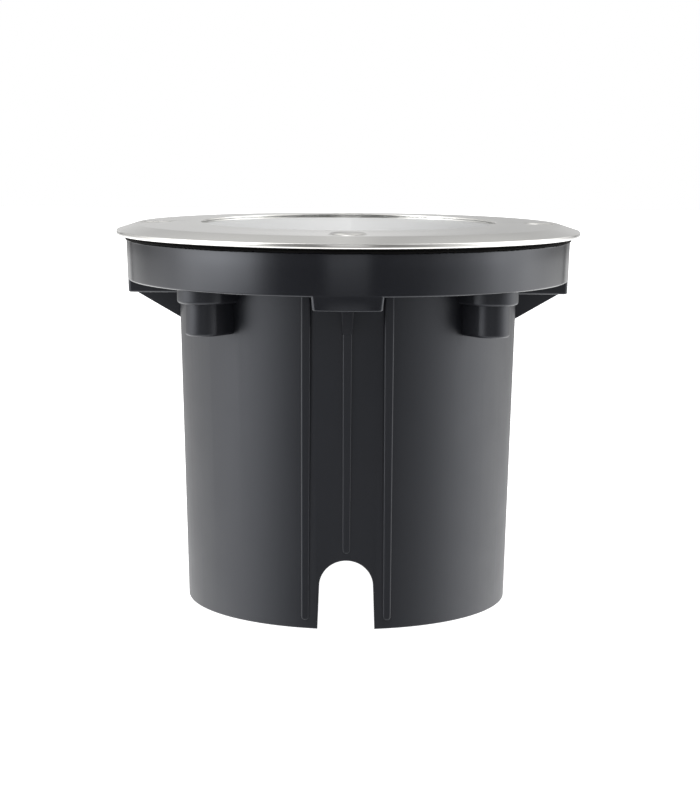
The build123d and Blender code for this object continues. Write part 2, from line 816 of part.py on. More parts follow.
# Glass gasket: a bed under the glass with a wall round its edge
with BuildPart() as glass_gasket:
    with BuildSketch(Plane.XZ):
        with BuildLine():
            Polyline(
                (glass_gasket_inner_radius, glass_seat),
                (glass_gasket_radius, glass_seat),
                (glass_gasket_radius, glass_top),
                (glass_radius + loose_gap, glass_top),
                (glass_radius + loose_gap, glass_foot),
                (glass_gasket_inner_radius, glass_foot),
                close=True,
            )
        make_face()
    revolve(axis=Axis.Z)
glass_gasket.part.label = "glass_gasket"
export_step(glass_gasket.part, "parts/glass_gasket.step")

# Cable gland body: a threaded stub through the floor, a hexagon under it and a neck for the cap
hex_foot = housing_foot - gland_hex_height
neck_foot = hex_foot - gland_neck_length
seal_foot = neck_foot - gland_seal_proud
seal_top = seal_foot + gland_seal_length
gland_hex_width = 2 * (gland_stub_radius + gland_hex_land)
gland_seal_radius = cable_radius + gland_seal_wall
gland_bore_radius = gland_seal_radius - gland_seal_step
gland_neck_radius = gland_seal_radius + running_gap + gland_neck_wall
with BuildPart() as gland_body_blank:
    with BuildSketch(Plane.XY.offset(hex_foot)):
        RegularPolygon(gland_hex_width / 2, 6, major_radius=False)
    extrude(amount=gland_hex_height)
    chamfer(gland_body_blank.edges().filter_by(Axis.Z), edge_break)
    with BuildSketch(Plane.XY.offset(housing_foot)):
        Circle(gland_stub_radius)
    extrude(amount=gland_stub_top - housing_foot)
    chamfer(gland_body_blank.edges().group_by(Axis.Z)[-1], edge_break)
    with BuildSketch(Plane.XY.offset(hex_foot)):
        Circle(gland_neck_radius)
    extrude(amount=-gland_neck_length)
    with BuildSketch(Plane.XY.offset(gland_stub_top)):
        Circle(gland_bore_radius)
    extrude(amount=-(gland_stub_top - neck_foot + overrun), mode=Mode.SUBTRACT)
    with BuildSketch(Plane.XY.offset(neck_foot)):
        Circle(gland_seal_radius + running_gap)
    extrude(amount=seal_top - neck_foot, mode=Mode.SUBTRACT)

with BuildPart() as gland_bodies:
    with PolarLocations(gland_offset, gland_count):
        add(gland_body_blank.part)
gland_bodies.part.label = "gland_bodies"
export_step(gland_bodies.part, "parts/gland_bodies.step")

# Locknuts on the glands, inside the housing
with BuildPart() as gland_locknuts:
    with BuildSketch(Plane.XY.offset(floor_top)):
        with PolarLocations(gland_offset, gland_count):
            RegularPolygon(gland_hex_width / 2, 6, major_radius=False)
            Circle(gland_stub_radius + running_gap, mode=Mode.SUBTRACT)
    extrude(amount=locknut_height)
gland_locknuts.part.label = "gland_locknuts"
export_step(gland_locknuts.part, "parts/gland_locknuts.step")

# Gland seals: rubber sleeves that grip the cable
with BuildPart() as gland_seals:
    with BuildSketch(Plane.XY.offset(seal_foot)):
        with PolarLocations(gland_offset, gland_count):
            Circle(gland_seal_radius)
            Circle(cable_radius, mode=Mode.SUBTRACT)
    extrude(amount=gland_seal_length)
gland_seals.part.label = "gland_seals"
export_step(gland_seals.part, "parts/gland_seals.step")

# Gland cap: a hexagonal cap nut with a domed mouth
cap_top = hex_foot - loose_gap
cap_foot = cap_top - gland_cap_length
gland_cap_width = 2 * (gland_neck_radius + running_gap + gland_cap_wall)
gland_mouth_radius = cable_radius + gland_mouth_gap
with BuildPart() as gland_cap_blank:
    with BuildSketch(Plane.XY.offset(cap_top)):
        RegularPolygon(gland_cap_width / 2, 6, major_radius=False)
    extrude(amount=-gland_cap_length)
    with BuildSketch(Plane.XZ):
        with BuildLine():
            Polyline(
                (0, cap_top),
                (gland_cap_width, cap_top),
                (gland_cap_width, cap_foot + gland_cap_dome),
                (gland_cap_width / 2, cap_foot + gland_cap_dome),
                (gland_mouth_radius + gland_lip_width, cap_foot),
                (0, cap_foot),
                close=True,
            )
        make_face()
    revolve(axis=Axis.Z, mode=Mode.INTERSECT)
    with BuildSketch(Plane.XZ):
        with BuildLine():
            Polyline(
                (0, cap_top + overrun),
                (gland_neck_radius + running_gap, cap_top + overrun),
                (gland_neck_radius + running_gap, neck_foot),
                (gland_seal_radius + running_gap, neck_foot),
                (gland_seal_radius + running_gap, seal_foot),
                (gland_mouth_radius, seal_foot - (gland_seal_radius - gland_mouth_radius)),
                (gland_mouth_radius, cap_foot - overrun),
                (0, cap_foot - overrun),
                close=True,
            )
        make_face()
    revolve(axis=Axis.Z, mode=Mode.SUBTRACT)

with BuildPart() as gland_caps:
    with PolarLocations(gland_offset, gland_count):
        add(gland_cap_blank.part)
gland_caps.part.label = "gland_caps"
export_step(gland_caps.part, "parts/gland_caps.step")

# Blanking pin in the unused gland
with BuildPart() as blanking_pin:
    with BuildSketch(Plane.XY.offset(seal_top)):
        with Locations((-gland_offset, 0)):
            Circle(cable_radius - running_gap)
    extrude(amount=cap_foot - seal_top)
    with BuildSketch(Plane.XY.offset(cap_foot)):
        with Locations((-gland_offset, 0)):
            Circle(gland_mouth_radius - hole_gap)
    extrude(amount=blanking_head_height)
    fillet(blanking_pin.edges().group_by(Axis.Z)[0], edge_break)
blanking_pin.part.label = "blanking_pin"
export_step(blanking_pin.part, "parts/blanking_pin.step")

# Terminal block: a base with three poles, each with a wire entry and a screw well
block_top = block_foot + block_height
entry_height = block_foot + block_entry_height
with BuildPart() as terminal_block:
    with BuildSketch(Plane.XY.offset(block_foot)):
        with Locations((0, block_offset)):
            RectangleRounded(block_length, block_depth, edge_break)
    extrude(amount=block_base_height)
    with BuildSketch(Plane.XY.offset(block_foot)):
        with Locations((0, block_offset)):
            with GridLocations(block_pole_pitch, 0, pole_count, 1):
                RectangleRounded(block_pole_width, block_pole_depth, edge_break)
    extrude(amount=block_height)
    with BuildSketch(Plane.XZ.offset(overrun - block_offset + block_depth / 2)):
        with Locations((0, entry_height)):
            with GridLocations(block_pole_pitch, 0, pole_count, 1):
                Circle(block_entry_radius)
    extrude(amount=-(block_depth + 2 * overrun), mode=Mode.SUBTRACT)
    with BuildSketch(Plane.XY.offset(block_top)):
        with Locations((0, block_offset)):
            with GridLocations(block_pole_pitch, 0, pole_count, 1):
                Circle(block_screw_radius + running_gap)
    extrude(amount=entry_height - block_top, mode=Mode.SUBTRACT)
    with BuildSketch(Plane.XY.offset(block_foot)):
        with Locations((0, block_offset)):
            with GridLocations(block_pole_pitch, 0, 2, 1):
                Circle(block_fixing_radius + running_gap)
    extrude(amount=block_base_height + overrun, mode=Mode.SUBTRACT)
terminal_block.part.label = "terminal_block"
export_step(terminal_block.part, "parts/terminal_block.step")

# Terminal screws in the poles
terminal_screw_blank = round_screw(
    block_screw_radius, block_screw_height / 2, block_screw_radius - running_gap, block_screw_height / 2
)
with BuildPart() as terminal_screws:
    with Locations((0, block_offset, block_top - block_screw_sink - block_screw_height / 2)):
        with GridLocations(block_pole_pitch, 0, pole_count, 1):
            add(terminal_screw_blank)
terminal_screws.part.label = "terminal_screws"
export_step(terminal_screws.part, "parts/terminal_screws.step")

# Screws that hold the terminal block to the floor's pads
block_fixing_blank = round_screw(
    (block_pole_pitch - block_pole_width) / 2 - loose_gap,
    block_fixing_head_height,
    block_fixing_radius,
    block_fixing_length,
)
with BuildPart() as terminal_fixings:
    with Locations((0, block_offset, block_foot + block_base_height)):
        with GridLocations(block_pole_pitch, 0, 2, 1):
            add(block_fixing_blank)
terminal_fixings.part.label = "terminal_fixings"
export_step(terminal_fixings.part, "parts/terminal_fixings.step")

# Earth screw and washer on a pad of the floor
earth_seat = floor_top + earth_pad_height
with BuildPart() as earth_washer:
    with BuildSketch(Plane.XY.offset(earth_seat)):
        with Locations((0, -earth_offset)):
            Circle(earth_washer_radius)
            Circle(earth_screw_radius + hole_gap, mode=Mode.SUBTRACT)
    extrude(amount=earth_washer_thickness)
earth_washer.part.label = "earth_washer"
export_step(earth_washer.part, "parts/earth_washer.step")

earth_screw_blank = round_screw(
    earth_screw_head_radius, earth_screw_head_height, earth_screw_radius, earth_screw_length
)
with BuildPart() as earth_screw:
    with Locations((0, -earth_offset, earth_seat + earth_washer_thickness)):
        add(earth_screw_blank)
earth_screw.part.label = "earth_screw"
export_step(earth_screw.part, "parts/earth_screw.step")

# Snap ring: open wire ring in the can's groove, over the pan ring
with BuildPart() as snap_ring:
    with BuildSketch(Plane.XZ.rotated((0, 0, snap_gap_angle / 2))):
        with Locations((snap_ring_radius, snap_height)):
            Circle(snap_wire_radius)
    revolve(axis=Axis.Z, revolution_arc=360 - snap_gap_angle)
snap_ring.part.label = "snap_ring"
export_step(snap_ring.part, "parts/snap_ring.step")

# Pan ring: a flat ring on the ledge, with two ears turned up at the pivots
ear_foot_width = 2 * ear_radius
with BuildPart() as pan_ring:
    with BuildSketch(Plane.XY.offset(ledge_top)):
        Circle(pan_ring_radius)
        Circle(pan_ring_inner_radius, mode=Mode.SUBTRACT)
    extrude(amount=pan_ring_thickness)
    with BuildSketch(Plane.YZ.offset(pan_ring_inner_radius)):
        with Locations((0, pivot_height)):
            Circle(ear_radius)
        with Locations((0, (pivot_height + ledge_top) / 2)):
            Rectangle(ear_foot_width, pivot_height - ledge_top)
        with Locations((0, pivot_height)):
            Circle(pivot_radius + running_gap, mode=Mode.SUBTRACT)
    extrude(amount=ear_thickness)
    mirror(about=Plane.YZ)
pan_ring.part.label = "pan_ring"
export_step(pan_ring.part, "parts/pan_ring.step")

# Cradle ring: a band round the lamp's rim, with a lip under it and two ears for the pivots
cradle_bore = cradle_radius - cradle_thickness
cradle_top = lamp_face + cradle_rim_rise
lip_foot = lamp_rim_foot - cradle_thickness
clip_height = lamp_face + clip_wire_radius + running_gap
clip_ring_radius = cradle_bore - clip_sink
with BuildPart() as cradle_ring:
    with BuildSketch(Plane.XZ):
        with BuildLine():
            Polyline(
                (cradle_radius, lip_foot),
                (cradle_radius, cradle_top),
                (cradle_bore, cradle_top),
                (cradle_bore, lamp_rim_foot),
                (lamp_radius - cradle_lip_width, lamp_rim_foot),
                (lamp_radius - cradle_lip_width, lip_foot),
                close=True,
            )
        make_face()
    revolve(axis=Axis.Z)
    with BuildSketch(Plane.YZ.offset(cradle_radius)):
        with Locations((0, pivot_height)):
            Circle(ear_radius)
        with Locations((0, (pivot_height + lip_foot + cradle_thickness) / 2)):
            Rectangle(ear_foot_width, lip_foot + cradle_thickness - pivot_height)
        with Locations((0, pivot_height)):
            Circle(pivot_radius + running_gap, mode=Mode.SUBTRACT)
    extrude(amount=-cradle_thickness)
    mirror(about=Plane.YZ)
    with BuildSketch(Plane.XZ):
        with Locations((clip_ring_radius, clip_height)):
            Circle(clip_wire_radius + running_gap)
    revolve(axis=Axis.Z, mode=Mode.SUBTRACT)
cradle_ring.part.label = "cradle_ring"
export_step(cradle_ring.part, "parts/cradle_ring.step")

# Pivot screws and spacers, along X
pivot_length = ear_outer - (cradle_bore - pivot_inner_reach)
pivot_screw_blank = socket_screw(
    pivot_head_radius, pivot_head_height, pivot_radius, pivot_length, pivot_socket
)
with BuildPart() as pivot_screws:
    with Locations(Plane(origin=(ear_outer, 0, pivot_height), x_dir=(0, 1, 0), z_dir=(1, 0, 0))):
        add(pivot_screw_blank)
    mirror(about=Plane.YZ)
pivot_screws.part.label = "pivot_screws"
export_step(pivot_screws.part, "parts/pivot_screws.step")

with BuildPart() as pivot_spacers:
    with BuildSketch(Plane.YZ.offset(cradle_radius)):
        with Locations((0, pivot_height)):
            Circle(pivot_head_radius)
            Circle(pivot_radius + running_gap, mode=Mode.SUBTRACT)
    extrude(amount=swing_gap)
    mirror(about=Plane.YZ)
pivot_spacers.part.label = "pivot_spacers"
export_step(pivot_spacers.part, "parts/pivot_spacers.step")

# Lamp clip: open wire ring over the lamp's rim
with BuildPart() as lamp_clip:
    with BuildSketch(Plane.XZ.rotated((0, 0, clip_gap_angle / 2))):
        with Locations((clip_ring_radius, clip_height)):
            Circle(clip_wire_radius)
    revolve(axis=Axis.Z, revolution_arc=360 - clip_gap_angle)
lamp_clip.part.label = "lamp_clip"
export_step(lamp_clip.part, "parts/lamp_clip.step")

# Lamp reflector: a bowl with a deep rim, hollowed for the lens and the burner
lens_top = lamp_face - lens_sink
lens_foot = lens_top - lens_thickness
lens_radius = lamp_radius - lens_margin
lamp_bowl_radius = lamp_radius - lamp_rim_width
bowl_middle_radius = (lamp_bowl_radius + lamp_neck_radius) / 2 + lamp_bowl_bulge
bowl_middle_height = neck_height + lamp_bowl_depth / 2 - lamp_bowl_bulge
with BuildPart() as lamp_reflector:
    with BuildSketch(Plane.XZ):
        with BuildLine():
            Polyline(
                (lamp_bowl_radius, lamp_rim_foot),
                (lamp_radius, lamp_rim_foot),
                (lamp_radius, lamp_face),
                (lens_radius + running_gap, lamp_face),
                (lens_radius + running_gap, lens_foot),
                (lamp_bowl_radius - lamp_wall, lens_foot),
                (lamp_bowl_radius - lamp_wall, lamp_rim_foot),
            )
            ThreePointArc(
                (lamp_bowl_radius - lamp_wall, lamp_rim_foot),
                (bowl_middle_radius - lamp_wall, bowl_middle_height + lamp_wall / 2),
                (lamp_neck_radius - lamp_wall, neck_height),
            )
            Line((lamp_neck_radius - lamp_wall, neck_height), (lamp_neck_radius, neck_height))
            ThreePointArc(
                (lamp_neck_radius, neck_height),
                (bowl_middle_radius, bowl_middle_height),
                (lamp_bowl_radius, lamp_rim_foot),
            )
        make_face()
    revolve(axis=Axis.Z)
lamp_reflector.part.label = "lamp_reflector"
export_step(lamp_reflector.part, "parts/lamp_reflector.step")

# Lamp lens: the glass disc over the reflector
with BuildPart() as lamp_lens:
    with BuildSketch(Plane.XY.offset(lens_foot)):
        Circle(lens_radius)
    extrude(amount=lens_thickness)
    chamfer(lamp_lens.edges(), edge_break)
lamp_lens.part.label = "lamp_lens"
export_step(lamp_lens.part, "parts/lamp_lens.step")

# Lamp burner: a domed capsule on a stem
with BuildPart() as lamp_capsule:
    with BuildSketch(Plane.XY.offset(neck_height)):
        Circle(capsule_stem_radius)
    extrude(amount=capsule_stem_length)
    with BuildSketch(Plane.XY.offset(neck_height + capsule_stem_length)):
        Circle(capsule_radius)
    extrude(amount=capsule_length - capsule_stem_length)
    fillet(lamp_capsule.edges().group_by(Axis.Z)[-1], capsule_round)
lamp_capsule.part.label = "lamp_capsule"
export_step(lamp_capsule.part, "parts/lamp_capsule.step")

# Lamp base: a tapered cap with two flats
with BuildPart() as lamp_base:
    with BuildSketch(Plane.XZ):
        with BuildLine():
            Polyline(
                (0, base_foot),
                (base_foot_radius, base_foot),
                (lamp_neck_radius - running_gap, neck_height),
                (0, neck_height),
                close=True,
            )
        make_face()
    revolve(axis=Axis.Z)
    with BuildSketch(Plane.XY.offset(base_foot)):
        Rectangle(2 * lamp_neck_radius + overrun, base_flat_width)
    extrude(amount=base_length, mode=Mode.INTERSECT)
lamp_base.part.label = "lamp_base"
export_step(lamp_base.part, "parts/lamp_base.step")

# Lamp pins: two headed pins under the base
pin_foot = base_foot - pin_length
with BuildPart() as lamp_pins:
    with BuildSketch(Plane.XY.offset(base_foot)):
        with GridLocations(pin_pitch, 0, 2, 1):
            Circle(pin_neck_radius)
    extrude(amount=-pin_length)
    with BuildSketch(Plane.XY.offset(pin_foot)):
        with GridLocations(pin_pitch, 0, 2, 1):
            Circle(pin_head_radius)
    extrude(amount=pin_head_length)
lamp_pins.part.label = "lamp_pins"
export_step(lamp_pins.part, "parts/lamp_pins.step")

# Lampholder: a waisted ceramic body with pin holes above and lead holes below
holder_waist_foot = holder_foot + (holder_height - holder_waist_height) / 2
with BuildPart() as lampholder:
    with BuildSketch(Plane.XZ):
        with BuildLine():
            Polyline(
                (0, holder_foot),
                (holder_radius, holder_foot),
                (holder_radius, holder_waist_foot),
                (holder_radius - holder_waist_depth, holder_waist_foot),
                (holder_radius - holder_waist_depth, holder_waist_foot + holder_waist_height),
                (holder_radius, holder_waist_foot + holder_waist_height),
                (holder_radius, base_foot),
                (0, base_foot),
                close=True,
            )
        make_face()
    revolve(axis=Axis.Z)
    with BuildSketch(Plane.XY.offset(base_foot)):
        with GridLocations(pin_pitch, 0, 2, 1):
            Circle(pin_head_radius + loose_gap)
    extrude(amount=-(pin_length + loose_gap), mode=Mode.SUBTRACT)
    with BuildSketch(Plane.XY.offset(holder_foot)):
        with GridLocations(0, 2 * holder_screw_offset, 1, 2):
            Circle(holder_screw_radius + running_gap)
    extrude(amount=holder_screw_length, mode=Mode.SUBTRACT)
lampholder.part.label = "lampholder"
export_step(lampholder.part, "parts/lampholder.step")

holder_screw_blank = round_screw(
    holder_screw_head_radius,
    holder_screw_head_height,
    holder_screw_radius,
    holder_screw_length - edge_break,
)
with BuildPart() as lampholder_screws:
    for side in (1, -1):
        screw_place = Plane(origin=(0, side * holder_screw_offset, holder_foot), z_dir=(0, 0, -1))
        with Locations(screw_place):
            add(holder_screw_blank)
lampholder_screws.part.label = "lampholder_screws"
export_step(lampholder_screws.part, "parts/lampholder_screws.step")

# Lamp leads: two insulated wires from the holder to the terminal block
lead_height = entry_height
lead_end = block_offset - block_depth / 2
with BuildPart() as lamp_leads:
    for side in (-1, 1):
        with BuildLine() as lead_route:
            FilletPolyline(
                (side * lead_pitch / 2, 0, holder_foot),
                (side * lead_pitch / 2, 0, lead_height),
                (side * lead_pitch / 2, lead_end / 2, lead_height),
                (side * block_pole_pitch, lead_end - lead_end_run, lead_height),
                (side * block_pole_pitch, lead_end, lead_height),
                radius=lead_bend_radius,
            )
        with BuildSketch(Plane(origin=(side * lead_pitch / 2, 0, holder_foot), z_dir=(0, 0, -1))):
            Circle(lead_radius)
        sweep(path=lead_route.wires()[0])
lamp_leads.part.label = "lamp_leads"
export_step(lamp_leads.part, "parts/lamp_leads.step")
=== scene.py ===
"""Looks of a round in-ground light: a moulded pot, a stainless trim ring with thick glass, and its lamp.
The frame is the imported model's: +Z up, the front faces -Y and the pot stands on Z = 0. Sizes of pieces
are in millimetres, as in the model's own source; everything placed in the scene is in metres."""
import json
from math import cos, pi, radians, sin, sqrt, tan

import bmesh
import bpy
from mathutils import Matrix, Vector, noise as waves


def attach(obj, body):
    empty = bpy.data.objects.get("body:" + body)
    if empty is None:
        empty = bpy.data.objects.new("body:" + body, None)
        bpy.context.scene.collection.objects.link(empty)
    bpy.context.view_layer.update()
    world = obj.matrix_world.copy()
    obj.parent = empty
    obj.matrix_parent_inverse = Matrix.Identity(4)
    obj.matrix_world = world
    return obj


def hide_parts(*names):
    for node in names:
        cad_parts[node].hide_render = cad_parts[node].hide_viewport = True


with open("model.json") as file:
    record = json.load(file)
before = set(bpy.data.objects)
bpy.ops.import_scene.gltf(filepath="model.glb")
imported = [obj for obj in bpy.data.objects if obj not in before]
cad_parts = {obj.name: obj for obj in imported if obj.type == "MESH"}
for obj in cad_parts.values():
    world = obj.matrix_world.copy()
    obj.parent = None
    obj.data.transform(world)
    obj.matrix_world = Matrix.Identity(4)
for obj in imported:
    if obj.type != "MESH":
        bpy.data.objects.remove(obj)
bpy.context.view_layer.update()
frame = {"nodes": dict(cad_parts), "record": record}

scene = bpy.context.scene
nodes = frame["nodes"]
MM = 0.001

# Camera: fitted to the photograph, 700 by 800 pixels
CAMERA_PLACE = Vector((0.00134, -1.022, 0.2438))
CAMERA_PITCH = radians(8.099)
CAMERA_ROLL = radians(0.346)
CAMERA_LENS = 92.05
SENSOR = 36.0


def add_camera():
    """The camera at the photograph's place, looking slightly down"""
    data = bpy.data.cameras.new("camera")
    data.sensor_fit = "AUTO"
    data.sensor_width = SENSOR
    data.lens = CAMERA_LENS
    data.clip_start = 0.01
    camera = bpy.data.objects.new("camera", data)
    scene.collection.objects.link(camera)
    upright = Matrix.Rotation(pi / 2 - CAMERA_PITCH, 4, "X")
    camera.matrix_world = Matrix.Translation(CAMERA_PLACE) @ upright @ Matrix.Rotation(CAMERA_ROLL, 4, "Z")
    scene.camera = camera


add_camera()
scene.view_settings.view_transform = "Standard"
scene.view_settings.look = "None"


# Node helpers
def link(tree, out, into):
    tree.links.new(out, into)


def maths(tree, operation, first, second=None):
    """One Math node; each term is a number or another node's output"""
    node = tree.nodes.new("ShaderNodeMath")
    node.operation = operation
    for socket, term in zip(node.inputs, (first, second)):
        if term is None:
            continue
        if isinstance(term, (int, float)):
            socket.default_value = term
        else:
            link(tree, term, socket)
    return node.outputs[0]


def spread(tree, value, low, high, start=0.0, end=1.0):
    """A value from start to end spread from low to high"""
    node = tree.nodes.new("ShaderNodeMapRange")
    link(tree, value, node.inputs["Value"])
    for name, number in (("From Min", start), ("From Max", end), ("To Min", low), ("To Max", high)):
        node.inputs[name].default_value = number
    return node.outputs["Result"]


def stretched(tree, scale):
    """The object's own coordinates in metres, scaled along each axis"""
    place = tree.nodes.new("ShaderNodeTexCoord")
    mapping = tree.nodes.new("ShaderNodeMapping")
    mapping.inputs["Scale"].default_value = scale
    link(tree, place.outputs["Object"], mapping.inputs["Vector"])
    return mapping.outputs["Vector"]


def axis_places(tree):
    """The object's own radius from its axis, x, y and z, in metres"""
    place = tree.nodes.new("ShaderNodeTexCoord")
    split = tree.nodes.new("ShaderNodeSeparateXYZ")
    link(tree, place.outputs["Object"], split.inputs[0])
    x, y, z = split.outputs
    squares = maths(tree, "ADD", maths(tree, "MULTIPLY", x, x), maths(tree, "MULTIPLY", y, y))
    return maths(tree, "SQRT", squares), x, y, z


def turned_lines(tree, across, around):
    """Coordinates that follow a turned piece: radius, angle and height, scaled across and around"""
    radius, x, y, z = axis_places(tree)
    join = tree.nodes.new("ShaderNodeCombineXYZ")
    link(tree, maths(tree, "MULTIPLY", radius, across), join.inputs[0])
    link(tree, maths(tree, "MULTIPLY", maths(tree, "ARCTAN2", y, x), around), join.inputs[1])
    link(tree, maths(tree, "MULTIPLY", z, across), join.inputs[2])
    return join.outputs[0]


def noise(tree, vector, scale, detail=3.0, roughness=0.5):
    """A noise texture's value, 0 to 1"""
    node = tree.nodes.new("ShaderNodeTexNoise")
    node.inputs["Scale"].default_value = scale
    node.inputs["Detail"].default_value = detail
    node.inputs["Roughness"].default_value = roughness
    link(tree, vector, node.inputs["Vector"])
    return node.outputs["Fac"]


def blend_colours(tree, factor, first, second):
    """A colour between two, by a 0 to 1 value"""
    node = tree.nodes.new("ShaderNodeMix")
    node.data_type = "RGBA"
    link(tree, factor, node.inputs["Factor"])
    for socket, colour in zip([s for s in node.inputs if s.type == "RGBA"], (first, second)):
        socket.default_value = (*colour, 1)
    return [s for s in node.outputs if s.type == "RGBA"][0]


def bump(tree, height, distance, normal=None):
    """A bump from a height value, its depth in metres"""
    node = tree.nodes.new("ShaderNodeBump")
    node.inputs["Strength"].default_value = 1.0
    node.inputs["Distance"].default_value = distance
    link(tree, height, node.inputs["Height"])
    if normal is not None:
        link(tree, normal, node.inputs["Normal"])
    return node.outputs["Normal"]


def new_material(name, metallic=0.0, ior=1.5, **inputs):
    """A material with one Principled shader; returns the material, its node tree and the shader"""
    material = bpy.data.materials.new(name)
    material.use_nodes = True
    tree = material.node_tree
    shader = tree.nodes["Principled BSDF"]
    shader.inputs["Metallic"].default_value = metallic
    shader.inputs["IOR"].default_value = ior
    for key, value in inputs.items():
        shader.inputs[key.replace("_", " ")].default_value = value
    return material, tree, shader


# Materials
BODY_ROUGHNESS = 0.42
COLLAR_ROUGHNESS = 0.17
COLLAR_FROM = 0.1080
COLLAR_BLEND = 0.001
PLASTIC_DARK = (0.0050, 0.0060, 0.0086)
PLASTIC_LIGHT = (0.0082, 0.0082, 0.0110)
PLASTIC_TINT = (0.90, 0.93, 1.0, 1.0)
RING_STEEL_DARK = (0.655, 0.647, 0.625)
RING_STEEL_LIGHT = (0.70, 0.693, 0.672)
FOAM_BLACK = (0.0012, 0.0010, 0.0010)
DUST_GREY = (0.05, 0.05, 0.05)
CLOUD_SHARE = 0.86


def pot_plastic():
    """Satin black plastic: a dull body, a smoother collar, mottling, flow lines and a spark-eroded grain"""
    material, tree, shader = new_material("pot_plastic", Specular_Tint=PLASTIC_TINT)
    even = stretched(tree, (1, 1, 1))
    mottle = noise(tree, even, 22, 4, 0.55)
    colour = blend_colours(tree, mottle, PLASTIC_DARK, PLASTIC_LIGHT)
    link(tree, colour, shader.inputs["Base Color"])
    flow = noise(tree, stretched(tree, (420, 420, 9)), 1, 2, 0.5)
    patch = noise(tree, even, 60, 3, 0.6)
    radius = axis_places(tree)[0]
    collar_end = COLLAR_FROM + COLLAR_BLEND
    finish = spread(tree, radius, BODY_ROUGHNESS, COLLAR_ROUGHNESS, COLLAR_FROM, collar_end)
    uneven = maths(tree, "ADD", spread(tree, patch, -0.04, 0.04), spread(tree, flow, -0.02, 0.02))
    link(tree, maths(tree, "ADD", finish, uneven), shader.inputs["Roughness"])
    grain = noise(tree, even, 2600, 2, 0.6)
    lines = bump(tree, flow, 0.000010)
    link(tree, bump(tree, grain, 0.000006, lines), shader.inputs["Normal"])
    return material


def brushed_ring():
    """Stainless steel with fine lines round the ring"""
    material, tree, shader = new_material("ring_steel", metallic=1.0)
    lines = noise(tree, turned_lines(tree, 5200, 9), 1, 3, 0.7)
    cloud = noise(tree, stretched(tree, (1, 1, 1)), 30, 3, 0.5)
    colour = blend_colours(tree, cloud, RING_STEEL_DARK, RING_STEEL_LIGHT)
    link(tree, colour, shader.inputs["Base Color"])
    gloss = maths(tree, "ADD", spread(tree, lines, 0.16, 0.26), spread(tree, cloud, -0.02, 0.02))
    link(tree, gloss, shader.inputs["Roughness"])
    link(tree, bump(tree, lines, 0.0000012), shader.inputs["Normal"])
    return material


def plain_metal(name, colour, roughness, grain_scale=900.0, depth=0.000004):
    """A metal with slight colour clouding, uneven gloss and a fine surface"""
    material, tree, shader = new_material(name, metallic=1.0)
    even = stretched(tree, (1, 1, 1))
    cloud = noise(tree, even, 120, 3, 0.5)
    darker = tuple(CLOUD_SHARE * part for part in colour)
    link(tree, blend_colours(tree, cloud, darker, colour), shader.inputs["Base Color"])
    grain = noise(tree, even, grain_scale, 3, 0.6)
    link(tree, spread(tree, grain, roughness * 0.8, roughness * 1.25), shader.inputs["Roughness"])
    link(tree, bump(tree, grain, depth), shader.inputs["Normal"])
    return material


def solid_colour(name, light, dark, roughness, grain_scale, depth):
    """A moulded or fired material: two close colours, uneven gloss and a grain"""
    material, tree, shader = new_material(name)
    even = stretched(tree, (1, 1, 1))
    cloud = noise(tree, even, 90, 4, 0.6)
    link(tree, blend_colours(tree, cloud, dark, light), shader.inputs["Base Color"])
    grain = noise(tree, even, grain_scale, 3, 0.65)
    link(tree, spread(tree, grain, roughness * 0.85, roughness * 1.15), shader.inputs["Roughness"])
    link(tree, bump(tree, grain, depth), shader.inputs["Normal"])
    return material


def foam():
    """Closed-cell black foam rubber: a pitted skin with a few pale specks of dust"""
    material, tree, shader = new_material("foam_rubber", ior=1.25, Roughness=0.95)
    even = stretched(tree, (1, 1, 1))
    dust = spread(tree, noise(tree, even, 1500, 2, 0.6), 0.0, 1.0, 0.73, 0.80)
    link(tree, blend_colours(tree, dust, FOAM_BLACK, DUST_GREY), shader.inputs["Base Color"])
    cells = noise(tree, even, 1100, 3, 0.7)
    link(tree, bump(tree, cells, 0.00012), shader.inputs["Normal"])
    return material


def clear_glass(name, tint, waviness):
    """Toughened glass with a faint roller wave"""
    material, tree, shader = new_material(name, ior=1.52, Transmission_Weight=1.0)
    wave = noise(tree, stretched(tree, (1, 1, 1)), 18, 2, 0.5)
    pale = tuple(1 - (1 - part) * 0.6 for part in tint)
    link(tree, blend_colours(tree, wave, tint, pale), shader.inputs["Base Color"])
    link(tree, spread(tree, wave, 0.0, 0.015), shader.inputs["Roughness"])
    link(tree, bump(tree, wave, waviness), shader.inputs["Normal"])
    return material


